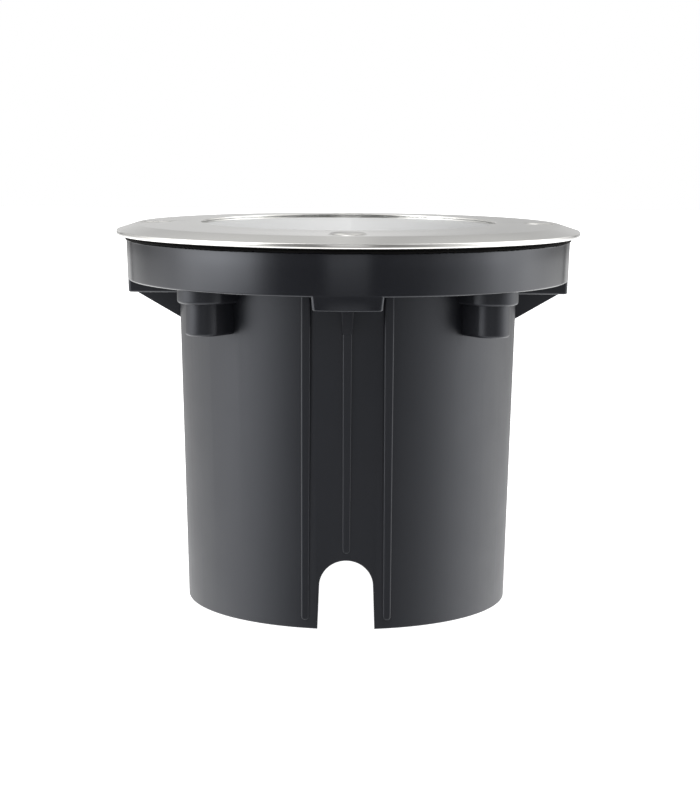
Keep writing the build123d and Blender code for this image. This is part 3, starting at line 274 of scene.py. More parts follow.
# Light colour, dark colour, roughness, the grain's scale and its depth in metres
MOULDED = {
    "silicone": ((0.80, 0.80, 0.78), (0.70, 0.70, 0.67), 0.45, 900, 0.00001),
    "gland_rubber": ((0.03, 0.03, 0.03), (0.018, 0.018, 0.018), 0.6, 900, 0.00001),
    "gland_plastic": ((0.022, 0.022, 0.024), (0.015, 0.015, 0.016), 0.38, 1500, 0.00001),
    "block_plastic": ((0.84, 0.84, 0.80), (0.76, 0.76, 0.71), 0.35, 1500, 0.000008),
    "ceramic": ((0.88, 0.87, 0.82), (0.78, 0.77, 0.71), 0.62, 1100, 0.000014),
    "lead_silicone": ((0.80, 0.78, 0.70), (0.72, 0.70, 0.61), 0.5, 900, 0.000008),
}
materials = {
    "pot_plastic": pot_plastic(),
    "ring_steel": brushed_ring(),
    "screw_steel": plain_metal("screw_steel", (0.72, 0.71, 0.69), 0.12),
    "gimbal_steel": plain_metal("gimbal_steel", (0.52, 0.54, 0.56), 0.33),
    "wire_steel": plain_metal("wire_steel", (0.60, 0.60, 0.60), 0.28),
    "brass": plain_metal("brass", (0.78, 0.58, 0.26), 0.27),
    "housing_aluminium": plain_metal("housing_aluminium", (0.46, 0.47, 0.48), 0.48, 1500, 0.000012),
    "reflector_aluminium": plain_metal("reflector_aluminium", (0.88, 0.89, 0.90), 0.12, 400, 0.000006),
    "foam_rubber": foam(),
    **{name: solid_colour(name, *values) for name, values in MOULDED.items()},
    "cover_glass": clear_glass("cover_glass", (0.955, 0.985, 0.972), 0.00001),
    "lamp_glass": clear_glass("lamp_glass", (0.97, 0.985, 0.985), 0.00001),
}


def dress_nodes():
    """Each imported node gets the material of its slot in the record"""
    for part in frame["record"]["subparts"]:
        node = nodes[part["node"]]
        node.data.materials.clear()
        node.data.materials.append(materials[part["material_slot"]])


dress_nodes()

# Mounting pot
PLACES = 4
RIBBED_PLACES = 2
TURN_STEPS = 384
ARC_STEPS = 6
POT_DEPTH = 160.0
POT_FOOT_RADIUS = 79.9
POT_DRAFT = tan(radians(1.51))
POT_INNER_FOOT = 77.3
POT_INNER_TOP = 79.7
POT_FOOT_ROUND = 0.6
POT_INNER_ROUND = 0.4
ROOT_DEPTH = 1.0
OVERLAP = 1.0
SHELF_TOP = 162.5
SHELF_FILLET = 1.0
COLLAR_TOP = 180.4
COLLAR_RADIUS = 110.13
COLLAR_DRAFT = tan(radians(1.77))
COLLAR_WALL = 3.0
COLLAR_FOOT_ROUND = 1.0
COLLAR_TOP_ROUND = 1.2
COLLAR_INNER_ROUND = 0.5

# Tabs, gussets and ribs of the pot
TAB_WIDTH = 33.5
TAB_FOOT = 153.7
TAB_DRAFT = tan(radians(8.0))
TAB_CORNER = 1.0
TAB_EDGE = 1.5
TAB_FOOT_EDGE = 0.7
TAB_SET_BACK = 0.1
TAB_CORNER_STEPS = 10
TAB_FACE_STEPS = 16
POCKET_FLOOR = 156.2
POCKET_START = 82.5
POCKET_END = 105.405
POCKET_WIDTH = 26.73
GUSSET_REACH = 107.1
GUSSET_SLOPE = tan(radians(30.2))
GUSSET_TOP_WIDTH = 5.4
GUSSET_FOOT_WIDTH = 4.4
GUSSET_EDGE = 0.7
GUSSET_ROUND = 2.6
GUSSET_LEAST = 1.2
ROUND_END_STEPS = 8
RIB_ROWS = 4
RIB_LEAST = 0.02
# Widths and how far a rib stands out: at its foot, at its top
CENTRE_RIB_FOOT = 36.9
CENTRE_RIB_WIDTHS = (3.6, 4.4)
CENTRE_RIB_PROUD = (0.4, 1.6)
CENTRE_RIB_EDGE = 0.6
SIDE_RIB_FOOT = 4.1
SIDE_RIB_MIDDLE = 19.3
SIDE_RIB_WIDTHS = (3.8, 4.6)
SIDE_RIB_PROUD = (0.9, 2.0)
SIDE_RIB_EDGE = 0.9
# Most of a half width that a round edge may take up
GUSSET_EDGE_SHARE = 0.9
RIB_EDGE_SHARE = 0.98

# Bosses and notches of the pot
BOSS_PITCH = 95.03
BOSS_STEP_RADIUS = 12.7
BOSS_STEP_DROP = 6.5
BOSS_RADIUS = 9.0
BOSS_DROP = 21.7
BOSS_EDGE = 1.5
BOSS_ROOT_SHARE = 0.76
BOSS_OVERLAP = 1.2
BOSS_STEPS = 48
INSERT_HOLE_RADIUS = 4.55
INSERT_HOLE_DEPTH = 16.0
INSERT_HOLE_STEPS = 48
NOTCH_RADIUS = 12.7
NOTCH_HEIGHT = 33.4
NOTCH_FLARE = 0.75
NOTCH_EDGE = 0.45
NOTCH_REACH = 3.0
NOTCH_STEPS = 40
OVERRUN = 2.0


def pot_radius_at(height):
    """Outer radius of the pot's body at a height"""
    return POT_FOOT_RADIUS + height * POT_DRAFT


def root_at(height, x=0.0):
    """A distance from the X axis that is inside the body's wall, at a height and a distance along X"""
    inner = POT_INNER_FOOT + (POT_INNER_TOP - POT_INNER_FOOT) * height / SHELF_TOP
    return sqrt((inner + ROOT_DEPTH) ** 2 - x**2)


def collar_radius_at(height):
    """Outer radius of the pot's collar at a height"""
    return COLLAR_RADIUS - (COLLAR_TOP - height) * COLLAR_DRAFT


# Shapes
def rounded(corners, steps=ARC_STEPS):
    """A closed outline from corners (x, y, radius), each radius above zero made into an arc"""
    outline = []
    count = len(corners)
    for index, (x, y, radius) in enumerate(corners):
        corner = Vector((x, y))
        if radius == 0:
            outline.append(corner)
            continue
        before = (Vector(corners[index - 1][:2]) - corner).normalized()
        after = (Vector(corners[(index + 1) % count][:2]) - corner).normalized()
        half = before.angle(after) / 2
        centre = corner + (before + after).normalized() * radius / sin(half)
        start = corner + before * radius / tan(half) - centre
        end = corner + after * radius / tan(half) - centre
        turn = start.angle(end)
        for step in range(steps + 1):
            share = step / steps
            spoke = (start * sin((1 - share) * turn) + end * sin(share * turn)) / sin(turn)
            outline.append(centre + spoke)
    return outline


def inset(outline, distance):
    """An outline moved inwards by a distance; it runs anticlockwise"""
    moved = []
    count = len(outline)
    for index, point in enumerate(outline):
        before = (point - outline[index - 1]).normalized()
        after = (outline[(index + 1) % count] - point).normalized()
        first = Vector((-before.y, before.x))
        second = Vector((-after.y, after.x))
        moved.append(point + (first + second) * distance / (1 + first.dot(second)))
    return moved


def round_depths(radius, steps):
    """Depths down a round edge, from the face to where the side begins, closest together at the face"""
    return [radius * (1 - cos(step / steps * pi / 2)) for step in range(steps + 1)]


def edge_rows(radius, steps=ARC_STEPS):
    """(depth, inset) pairs round a block's edge, from its face to where its side begins"""
    rows = []
    for step in range(steps + 1):
        angle = step / steps * pi / 2
        rows.append((radius * (1 - cos(angle)), radius * (1 - sin(angle))))
    return rows


def stand_back(depth, radius):
    """How far a round edge stands back from its side, at a depth from its face"""
    left = max(0.0, radius - depth)
    return radius - sqrt(radius**2 - left**2)


def skin(bm, loops, ring=False):
    """Faces over a row of point loops, in millimetres, capped at both ends or joined into a ring"""
    rows = [[bm.verts.new(Vector(point) * MM) for point in loop] for loop in loops]
    following = rows[1:] + rows[:1] if ring else rows[1:]
    for first, second in zip(rows, following):
        for index in range(len(first)):
            after = (index + 1) % len(first)
            bm.faces.new((first[index], first[after], second[after], second[index]))
    if not ring:
        bm.faces.new(reversed(rows[0]))
        bm.faces.new(rows[-1])


def as_object(name, build):
    """A new object from a function that fills a bmesh"""
    bm = bmesh.new()
    build(bm)
    bmesh.ops.recalc_face_normals(bm, faces=bm.faces)
    mesh = bpy.data.meshes.new(name)
    bm.to_mesh(mesh)
    bm.free()
    made = bpy.data.objects.new(name, mesh)
    scene.collection.objects.link(made)
    return made


def turned(outline, steps=TURN_STEPS):
    """A builder that turns a closed (radius, height) outline about the Z axis"""
    def build(bm):
        loops = []
        for step in range(steps):
            angle = 2 * pi * step / steps
            loops.append([(r * cos(angle), r * sin(angle), z) for r, z in outline])
        skin(bm, loops, ring=True)
    return build


def turned_solid(outline, middle=(0.0, 0.0), steps=TURN_STEPS):
    """A builder that turns an open (radius, height) line about a vertical axis and caps both ends"""
    def build(bm):
        loops = []
        for radius, height in outline:
            loop = []
            for step in range(steps):
                angle = 2 * pi * step / steps
                loop.append((middle[0] + radius * cos(angle), middle[1] + radius * sin(angle), height))
            loops.append(loop)
        skin(bm, loops)
    return build


def combine(base, others, operation):
    """The base with the others joined or cut, as real geometry; the others are used up"""
    group = bpy.data.collections.new("operands")
    for other in others:
        group.objects.link(other)
    change = base.modifiers.new("combine", "BOOLEAN")
    change.operation = operation
    change.operand_type = "COLLECTION"
    change.collection = group
    change.solver = "MANIFOLD"
    graph = bpy.context.evaluated_depsgraph_get()
    mesh = bpy.data.meshes.new_from_object(base.evaluated_get(graph))
    base.modifiers.clear()
    base.data = mesh
    for other in others:
        bpy.data.objects.remove(other)
    bpy.data.collections.remove(group)


def finish_mesh(made, crease=radians(32)):
    """Clean the mesh and shade it smooth except across its creases"""
    bm = bmesh.new()
    bm.from_mesh(made.data)
    bmesh.ops.remove_doubles(bm, verts=bm.verts, dist=0.002 * MM)
    bmesh.ops.dissolve_degenerate(bm, edges=bm.edges, dist=0.002 * MM)
    for face in bm.faces:
        face.smooth = True
    for edge in bm.edges:
        edge.smooth = edge.is_manifold and edge.calc_face_angle(0) < crease
    bm.to_mesh(made.data)
    bm.free()


def dress(made, material, body, slot, *replaced):
    """A finished piece gets its material, rides on its body and stands for its nodes"""
    made.data.materials.clear()
    made.data.materials.append(materials[material])
    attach(made, body)
    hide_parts(*replaced)


def at_places(offset=0.0, places=PLACES):
    """The rotations of places spread evenly round the Z axis"""
    return [Matrix.Rotation(offset + index * 2 * pi / places, 4, "Z") for index in range(places)]


def repeated(name, build, offset=0.0, places=PLACES):
    """Copies of a shape round the Z axis"""
    copies = []
    for index, turn in enumerate(at_places(offset, places)):
        copy = as_object(f"{name}_{index}", build)
        copy.data.transform(turn)
        copies.append(copy)
    return copies


def pot_shell(bm):
    """The pot's turned body, shelf and collar"""
    corners = [
        (POT_INNER_FOOT, 0, POT_INNER_ROUND),
        (POT_FOOT_RADIUS, 0, POT_FOOT_ROUND),
        (pot_radius_at(POT_DEPTH), POT_DEPTH, SHELF_FILLET),
        (collar_radius_at(POT_DEPTH), POT_DEPTH, COLLAR_FOOT_ROUND),
        (COLLAR_RADIUS, COLLAR_TOP, COLLAR_TOP_ROUND),
        (COLLAR_RADIUS - COLLAR_WALL, COLLAR_TOP, COLLAR_INNER_ROUND),
        (collar_radius_at(SHELF_TOP) - COLLAR_WALL, SHELF_TOP, COLLAR_INNER_ROUND),
        (POT_INNER_TOP, SHELF_TOP, COLLAR_INNER_ROUND),
    ]
    turned(rounded(corners))(bm)


def tab(bm):
    """A block under the collar, its face following the collar, with round corners and edges"""
    rows = []
    for depth in round_depths(TAB_CORNER, TAB_CORNER_STEPS):
        rows.append((TAB_FOOT + depth, stand_back(depth, TAB_CORNER), stand_back(depth, TAB_FOOT_EDGE)))
    rows.append((SHELF_TOP - OVERLAP, 0.0, 0.0))
    root = root_at(TAB_FOOT, TAB_WIDTH / 2)
    loops = []
    for height, side_shrink, face_shrink in rows:
        half = TAB_WIDTH / 2 - (POT_DEPTH - min(height, POT_DEPTH)) * TAB_DRAFT - side_shrink
        face = collar_radius_at(height) - TAB_SET_BACK - face_shrink
        left = [(-half + shrink, depth) for depth, shrink in reversed(edge_rows(TAB_EDGE))]
        flat = half - TAB_EDGE
        middle = [(-flat + 2 * step / TAB_FACE_STEPS * flat, 0.0) for step in range(1, TAB_FACE_STEPS)]
        right = [(-x, depth) for x, depth in reversed(left)]
        loop = [(-half, -root, height)]
        loop += [(x, depth - sqrt(face**2 - x**2), height) for x, depth in left + middle + right]
        loop.append((half, -root, height))
        loops.append(loop)
    skin(bm, loops)


def gusset(bm):
    """A web that falls from the tab's underside back to the body, its foot rounded"""
    root = root_at(TAB_FOOT)
    foot = TAB_FOOT - (GUSSET_REACH - root - GUSSET_LEAST) * GUSSET_SLOPE
    heights = [foot + depth for depth in round_depths(GUSSET_ROUND, ROUND_END_STEPS)[1:]]
    loops = []
    for height in heights + [TAB_FOOT, TAB_FOOT + OVERLAP]:
        below = TAB_FOOT - min(height, TAB_FOOT)
        narrowing = (GUSSET_TOP_WIDTH - GUSSET_FOOT_WIDTH) * below / (TAB_FOOT - foot)
        half = (GUSSET_TOP_WIDTH - narrowing) / 2
        half -= half * stand_back((height - foot) / GUSSET_ROUND, 1.0)
        reach = GUSSET_REACH - below / GUSSET_SLOPE
        edge = min(GUSSET_EDGE, half * GUSSET_EDGE_SHARE)
        corners = [(-half, -root, 0), (-half, -reach, edge), (half, -reach, edge), (half, -root, 0)]
        loops.append([(x, y, height) for x, y in rounded(corners)])
    skin(bm, loops)


def rib_rows(foot, top, start):
    """Heights up a rib, closest together round its foot, which is a half round of radius start"""
    heights = [foot + depth for depth in round_depths(start, ROUND_END_STEPS)]
    heights[0] = foot + RIB_LEAST
    return heights + [foot + start + (top - foot - start) * row / RIB_ROWS for row in range(1, RIB_ROWS + 1)]


def rib_section(middle, half, root, face, edge):
    """A rib's outline across, its two outer corners rounded"""
    corner = min(edge, half * RIB_EDGE_SHARE)
    corners = [
        (middle - half, -root, 0),
        (middle - half, -face, corner),
        (middle + half, -face, corner),
        (middle + half, -root, 0),
    ]
    return rounded(corners)


def rib(middle, foot, top, widths, proud, edge):
    """A builder for a round-ended rib down the pot's body"""
    start = widths[0] / 2
    foot_face = sqrt(pot_radius_at(foot) ** 2 - middle**2) + proud[0]
    top_face = sqrt(pot_radius_at(top) ** 2 - middle**2) + proud[1]

    def build(bm):
        loops = []
        for height in rib_rows(foot, top, start):
            share = (height - foot) / (top - foot)
            half = (widths[0] + (widths[1] - widths[0]) * share) / 2
            face = foot_face + (top_face - foot_face) * share
            if height < foot + start:
                half = half * sqrt(max(0.0, 1 - ((foot + start - height) / start) ** 2))
            near_end = min(1.0, (height - foot) / edge)
            face -= edge * (1 - sqrt(max(0.0, 1 - (1 - near_end) ** 2)))
            section = rib_section(middle, half, root_at(height, abs(middle) + start), face, edge)
            loops.append([(x, y, height) for x, y in section])
        skin(bm, loops)
    return build


def boss(radius, drop):
    """A builder for a round pillar that draws in as it runs back to the body, its lower edge rounded"""
    def build(bm):
        root_half = radius * BOSS_ROOT_SHARE
        root = root_at(POT_DEPTH, root_half)
        outline = [Vector((root, -root_half)), Vector((BOSS_PITCH, -radius))]
        for step in range(1, BOSS_STEPS):
            angle = -pi / 2 + pi * step / BOSS_STEPS
            outline.append(Vector((BOSS_PITCH + radius * cos(angle), radius * sin(angle))))
        outline += [Vector((BOSS_PITCH, radius)), Vector((root, root_half))]
        foot = POT_DEPTH - drop
        loops = []
        for depth, shrink in edge_rows(BOSS_EDGE):
            loops.append([(x, y, foot + depth) for x, y in inset(outline, shrink)])
        loops.append([(x, y, POT_DEPTH + BOSS_OVERLAP) for x, y in outline])
        skin(bm, loops)
    return build


def notch_outline():
    """Half-width and height pairs of the notch's arch, from its left foot over the top to its right foot"""
    spring = NOTCH_HEIGHT - NOTCH_RADIUS
    foot = NOTCH_RADIUS + NOTCH_FLARE * (1 + OVERRUN / spring)
    outline = [Vector((foot, -OVERRUN)), Vector((NOTCH_RADIUS, spring))]
    for step in range(1, NOTCH_STEPS):
        angle = pi * step / NOTCH_STEPS
        outline.append(Vector((NOTCH_RADIUS * cos(angle), spring + NOTCH_RADIUS * sin(angle))))
    outline += [Vector((-NOTCH_RADIUS, spring)), Vector((-foot, -OVERRUN))]
    return outline


def notch_cutter(bm):
    """The notch's arch carried through the wall, its outer edge rounded"""
    near = [(depth, stand_back(depth, NOTCH_EDGE)) for depth in round_depths(NOTCH_EDGE, ARC_STEPS)]
    rows = [(-NOTCH_REACH, NOTCH_EDGE)] + near + [(2 * NOTCH_REACH, 0.0)]
    outline = notch_outline()
    loops = []
    for depth, grow in rows:
        grown = inset(outline, -grow)
        loops.append([(x, depth - sqrt(pot_radius_at(z) ** 2 - x**2), z) for x, z in grown])
    skin(bm, loops)


def pocket_cutter(bm):
    """The pocket for a housing boss, sunk into the tab from the shelf"""
    half = POCKET_WIDTH / 2
    corners = [
        (-half, -POCKET_END, TAB_CORNER),
        (half, -POCKET_END, TAB_CORNER),
        (half, -POCKET_START, TAB_CORNER),
        (-half, -POCKET_START, TAB_CORNER),
    ]
    outline = rounded(corners)
    skin(bm, [[(x, y, z) for x, y in outline] for z in (POCKET_FLOOR, SHELF_TOP + OVERRUN)])


def pot_additions():
    """What stands on the turned shell: tabs, gussets, ribs and stepped bosses"""
    added = repeated("tab", tab) + repeated("gusset", gusset)
    rib_top = TAB_FOOT + OVERLAP
    centre_rib = rib(0.0, CENTRE_RIB_FOOT, rib_top, CENTRE_RIB_WIDTHS, CENTRE_RIB_PROUD, CENTRE_RIB_EDGE)
    added += repeated("centre_rib", centre_rib, 0.0, RIBBED_PLACES)
    for side in (-1, 1):
        middle = side * SIDE_RIB_MIDDLE
        rib_top = POT_DEPTH + OVERLAP
        side_rib = rib(middle, SIDE_RIB_FOOT, rib_top, SIDE_RIB_WIDTHS, SIDE_RIB_PROUD, SIDE_RIB_EDGE)
        added += repeated(f"side_rib_{side + 1}", side_rib, 0.0, RIBBED_PLACES)
    added += repeated("boss_step", boss(BOSS_STEP_RADIUS, BOSS_STEP_DROP), pi / 4)
    added += repeated("boss", boss(BOSS_RADIUS, BOSS_DROP), pi / 4)
    return added


def pot_cutters():
    """What is cut from the pot: pockets, holes for the brass inserts and the two notches"""
    cutters = repeated("pocket", pocket_cutter)
    hole_foot = SHELF_TOP - INSERT_HOLE_DEPTH
    hole_line = [(INSERT_HOLE_RADIUS, hole_foot), (INSERT_HOLE_RADIUS, SHELF_TOP + OVERRUN)]
    cutters += repeated("hole", turned_solid(hole_line, (BOSS_PITCH, 0.0), INSERT_HOLE_STEPS), pi / 4)
    front_notch = as_object("notch_front", notch_cutter)
    back_notch = as_object("notch_back", notch_cutter)
    back_notch.data.transform(Matrix.Rotation(pi, 4, "Z"))
    return cutters + [front_notch, back_notch]


def build_pot():
    """The mounting pot, joined from its turned shell and what stands on it, then pocketed and notched"""
    pot = as_object("mounting_pot_moulded", pot_shell)
    combine(pot, pot_additions(), "UNION")
    combine(pot, pot_cutters(), "DIFFERENCE")
    finish_mesh(pot)
    dress(pot, "pot_plastic", "pot", "pot_plastic", "mounting_pot")


build_pot()

# Trim ring
RING_TOP = 188.2
RING_FOOT = 182.0
RING_RADIUS = 115.0
RING_OPENING = 73.3
RING_LIP = 0.95
RING_BEVEL_WIDTH = 9.3
RING_SLOPE_END = RING_RADIUS - RING_BEVEL_WIDTH
RING_SLOPE_DROP = 0.8
RING_BEVEL_DROP = 3.0
RING_FOOT_EDGE = 1.3
RING_RIM_EDGE = 0.6
RING_BEVEL_EDGE = 0.4
RING_OPENING_EDGE = 0.3
RING_LIP_EDGE = 0.15
RING_POCKET_EDGE = 0.3
RING_GROOVE_EDGE = 0.2
RING_GROOVE = (108.0, 112.5, 1.4)
RING_POCKET = 83.1
RING_STEPS = 512
SCREW_PITCH = 95.705
SCREW_HOLE_RADIUS = 4.4
COUNTERSINK_RADIUS = 8.5
COUNTERSINK_STEPS = 96
# The countersink's rounded lip: (outwards, upwards) from its edge
COUNTERSINK_LIP = ((-0.25, -0.25), (0.0, -0.1), (0.35, 0.06), (1.0, 0.4))
RING_SLOPE_WIDTH = RING_SLOPE_END - RING_OPENING
RING_TOP_AT_SCREW = RING_TOP - RING_SLOPE_DROP * (SCREW_PITCH - RING_OPENING) / RING_SLOPE_WIDTH


def ring_shell(bm):
    """The ring's turned section"""
    slope_top = RING_TOP - RING_SLOPE_DROP
    glass_top = RING_TOP - RING_LIP
    groove_in, groove_out, groove_depth = RING_GROOVE
    corners = [
        (RING_OPENING, glass_top, RING_LIP_EDGE),
        (RING_POCKET, glass_top, RING_LIP_EDGE),
        (RING_POCKET, RING_FOOT, RING_POCKET_EDGE),
        (groove_in, RING_FOOT, RING_GROOVE_EDGE),
        (groove_in, RING_FOOT + groove_depth, RING_GROOVE_EDGE),
        (groove_out, RING_FOOT + groove_depth, RING_GROOVE_EDGE),
        (groove_out, RING_FOOT, RING_GROOVE_EDGE),
        (RING_RADIUS, RING_FOOT, RING_FOOT_EDGE),
        (RING_RADIUS, slope_top - RING_BEVEL_DROP, RING_RIM_EDGE),
        (RING_SLOPE_END, slope_top, RING_BEVEL_EDGE),
        (RING_OPENING, RING_TOP, RING_OPENING_EDGE),
    ]
    turned(rounded(corners), RING_STEPS)(bm)


def build_ring():
    """The trim ring with its four countersunk holes"""
    ring = as_object("trim_ring_brushed", ring_shell)
    sink = COUNTERSINK_RADIUS - SCREW_HOLE_RADIUS
    line = [(SCREW_HOLE_RADIUS, RING_FOOT - OVERRUN), (SCREW_HOLE_RADIUS, RING_TOP_AT_SCREW - sink)]
    line += [(COUNTERSINK_RADIUS + out, RING_TOP_AT_SCREW + up) for out, up in COUNTERSINK_LIP]
    cutter = turned_solid(line, (SCREW_PITCH, 0.0), COUNTERSINK_STEPS)
    combine(ring, repeated("countersink", cutter), "DIFFERENCE")
    finish_mesh(ring)
    dress(ring, "ring_steel", "cover", "ring_steel", "trim_ring")


build_ring()

# Cover glass
GLASS_RADIUS = 80.0
GLASS_FOOT = 178.3
GLASS_GAP = 0.02
GLASS_TOP = RING_TOP - RING_LIP - GLASS_GAP
GLASS_CHAMFER = 0.8


def build_glass():
    """The thick round glass, its edges ground to a small chamfer"""
    line = [
        (GLASS_RADIUS - GLASS_CHAMFER, GLASS_FOOT),
        (GLASS_RADIUS, GLASS_FOOT + GLASS_CHAMFER),
        (GLASS_RADIUS, GLASS_TOP - GLASS_CHAMFER),
        (GLASS_RADIUS - GLASS_CHAMFER, GLASS_TOP),
    ]
    glass = as_object("cover_glass_clear", turned_solid(line))
    finish_mesh(glass)
    dress(glass, "cover_glass", "cover", "cover_glass", "cover_glass")


build_glass()

# Foam gasket
FOAM_INNER = 84.4
FOAM_FOOT = 179.6
FOAM_STEPS = 1440
FOAM_LIP = 110.6
FOAM_RAGGED = 0.42
# How the lip's raggedness is made: (waves round the ring, share)
FOAM_WAVES = ((9.0, 1.0), (70.0, 1.0), (170.0, 0.8))
# The lip's section: (outwards from FOAM_LIP, upwards from the collar's top, share of the raggedness)
FOAM_LIP_SECTION = ((0.0, -0.5, 1.0), (0.3, 0.3, 0.5), (-0.1, 1.2, 0.0))
FOAM_LIP_INSET = 0.9
FOAM_FOOT_GAP = 0.7
FOAM_WALL_GAP = 0.2
FOAM_TOP_GAP = 0.1
FOAM_OVER_COLLAR = 1.2


def foam_gasket(bm):
    """The foam ring, squeezed out in a ragged lip over the collar's top edge"""
    loops = []
    for step in range(FOAM_STEPS):
        angle = 2 * pi * step / FOAM_STEPS
        spot = Vector((cos(angle), sin(angle), 0.0))
        ragged = FOAM_RAGGED * sum(share * waves.noise(spot * scale) for scale, share in FOAM_WAVES)
        outline = [
            (FOAM_INNER, FOAM_FOOT),
            (COLLAR_RADIUS - COLLAR_WALL - FOAM_FOOT_GAP, FOAM_FOOT),
            (COLLAR_RADIUS - COLLAR_WALL - FOAM_WALL_GAP, COLLAR_TOP + FOAM_TOP_GAP),
            (COLLAR_RADIUS - FOAM_OVER_COLLAR, COLLAR_TOP + FOAM_TOP_GAP),
        ]
        for out, up, share in FOAM_LIP_SECTION:
            outline.append((FOAM_LIP + out, COLLAR_TOP + up + ragged * share))
        outline += [(FOAM_LIP - FOAM_LIP_INSET, RING_FOOT), (FOAM_INNER, RING_FOOT)]
        loops.append([(r * spot.x, r * spot.y, z) for r, z in outline])
    skin(bm, loops, ring=True)


def build_foam():
    """The gasket between the ring and the lamp housing's flange"""
    gasket = as_object("ring_gasket_foam", foam_gasket)
    finish_mesh(gasket)
    dress(gasket, "foam_rubber", "cover", "foam_rubber", "ring_gasket")


build_foam()

# Trim screws
SCREW_RADIUS = 4.0
SCREW_FOOT = 162.45
SCREW_HEAD_RADIUS = 7.9
SCREW_SUNK = 0.7
SCREW_TOP = RING_TOP_AT_SCREW - SCREW_SUNK
SCREW_RIM = 0.3
SCREW_RIM_SHARE = 0.9
SCREW_STEPS = 48
SCREW_TIP = 1.0
SCREW_TIP_DRAW = 0.5
THREAD_PITCH = 1.25
THREAD_DEPTH = 0.38
THREAD_ROWS = 8
SOCKET_ACROSS = 5.5
SOCKET_DEPTH = 3.0
SOCKET_LEAD = 0.35
SOCKET_POINT = (0.05, 1.0)
SOCKET_POINT_SHARE = 0.86


def thread_rows(foot, top):
    """Heights up a threaded shank, THREAD_ROWS to each turn of the thread"""
    count = int((top - foot) / THREAD_PITCH * THREAD_ROWS)
    return [foot + (top - foot) * step / count for step in range(count + 1)]


def screw_loop(radii, height):
    """A loop at the +X place from its radii, spread evenly round it"""
    loop = []
    for step, radius in enumerate(radii):
        angle = 2 * pi * step / len(radii)
        loop.append((SCREW_PITCH + radius * cos(angle), radius * sin(angle), height))
    return loop


def thread_radii(height, neck):
    """The shank's radii round a height; the thread fades out at the neck and draws in at the tip"""
    fade = min(1.0, (neck - height) / THREAD_PITCH)
    end = max(0.0, 1 - (height - SCREW_FOOT) / SCREW_TIP)
    radii = []
    for step in range(SCREW_STEPS):
        turn = (height / THREAD_PITCH - step / SCREW_STEPS) % 1.0
        radii.append(SCREW_RADIUS - THREAD_DEPTH * fade * abs(2 * turn - 1) * 2 - SCREW_TIP_DRAW * end)
    return radii


def trim_screw(bm):
    """A countersunk screw at the +X place: a cut thread, a cone and a rounded rim"""
    neck = SCREW_TOP - SCREW_RIM - (SCREW_HEAD_RADIUS - SCREW_RADIUS)
    loops = [screw_loop(thread_radii(height, neck), height) for height in thread_rows(SCREW_FOOT, neck)]
    head = [(0.0, SCREW_RIM)]
    head += [(shrink, depth) for depth, shrink in reversed(edge_rows(SCREW_RIM * SCREW_RIM_SHARE))]
    for shrink, depth in head:
        loops.append(screw_loop([SCREW_HEAD_RADIUS - shrink] * SCREW_STEPS, SCREW_TOP - depth))
    skin(bm, loops)


def socket_cutter(bm):
    """A hexagon socket with a tapered entry and a drilled point"""
    corner = SOCKET_ACROSS / sqrt(3)
    point_radius, point_depth = SOCKET_POINT
    rows = [
        (point_radius, SCREW_TOP - SOCKET_DEPTH - point_depth),
        (corner * SOCKET_POINT_SHARE, SCREW_TOP - SOCKET_DEPTH),
        (corner, SCREW_TOP - SOCKET_DEPTH),
        (corner, SCREW_TOP - SOCKET_LEAD),
        (corner + SOCKET_LEAD * 1.5, SCREW_TOP + SOCKET_LEAD * 0.5),
    ]
    skin(bm, [screw_loop([radius] * 6, height) for radius, height in rows])


def build_screws():
    """The four trim screws"""
    screws = as_object("trim_screws_socket_0", trim_screw)
    combine(screws, [as_object("socket", socket_cutter)], "DIFFERENCE")
    bm = bmesh.new()
    for turn in at_places():
        copy = screws.data.copy()
        copy.transform(turn)
        bm.from_mesh(copy)
        bpy.data.meshes.remove(copy)
    bm.to_mesh(screws.data)
    bm.free()
    screws.name = "trim_screws_socket"
    finish_mesh(screws)
    dress(screws, "screw_steel", "cover", "screw_steel", "trim_screws")


build_screws()

# Stage: a pale floor under a white surround
FLOOR_HALF = 4.0
FLOOR_TOP = -0.0002
FLOOR_GREY = (0.55, 0.55, 0.55, 1)
FLOOR_GLOW = (0.05, 1.0)


def add_stage():
    """A wide pale floor, white to the eye and faint as a lamp"""
    mesh = bpy.data.meshes.new("floor")
    corners = [(-FLOOR_HALF, -FLOOR_HALF), (FLOOR_HALF, -FLOOR_HALF)]
    corners += [(-x, -y) for x, y in corners]
    mesh.from_pydata([(x, y, FLOOR_TOP) for x, y in corners], [], [(0, 1, 2, 3)])
    floor = bpy.data.objects.new("floor", mesh)
    scene.collection.objects.link(floor)
    floor.visible_glossy = False
    material, tree, shader = new_material("floor", Base_Color=FLOOR_GREY, Roughness=0.9)
    shader.inputs["Specular IOR Level"].default_value = 0.0
    path = tree.nodes.new("ShaderNodeLightPath")
    shader.inputs["Emission Color"].default_value = (1, 1, 1, 1)
    link(tree, spread(tree, path.outputs["Is Camera Ray"], *FLOOR_GLOW), shader.inputs["Emission Strength"])
    mesh.materials.append(material)


# What the surround holds round the horizon: (degrees from the front, negative to the left, radiance)
SURROUND = (
    (-180, 0.95), (-176, 0.72), (-168, 0.80), (-153.5, 1.05), (-152, 0.15), (-149.5, 0.15),
    (-147.5, 0.85), (-125, 0.95), (-100, 1.90), (-84, 3.60), (-66, 4.00), (-52, 3.00), (-42, 0.90),
    (-34, 0.30), (-12, 0.20), (-9, 0.80), (9, 0.80), (12, 0.20), (40, 0.45), (58, 1.00), (72, 1.90),
    (82, 3.00), (104, 3.10), (120, 1.90), (138, 1.10), (147.5, 0.80), (149.5, 0.15), (152, 0.15),
    (153.5, 0.95), (168, 0.75), (176, 0.57), (180, 0.90),
)
SURROUND_SCALE = 4.0
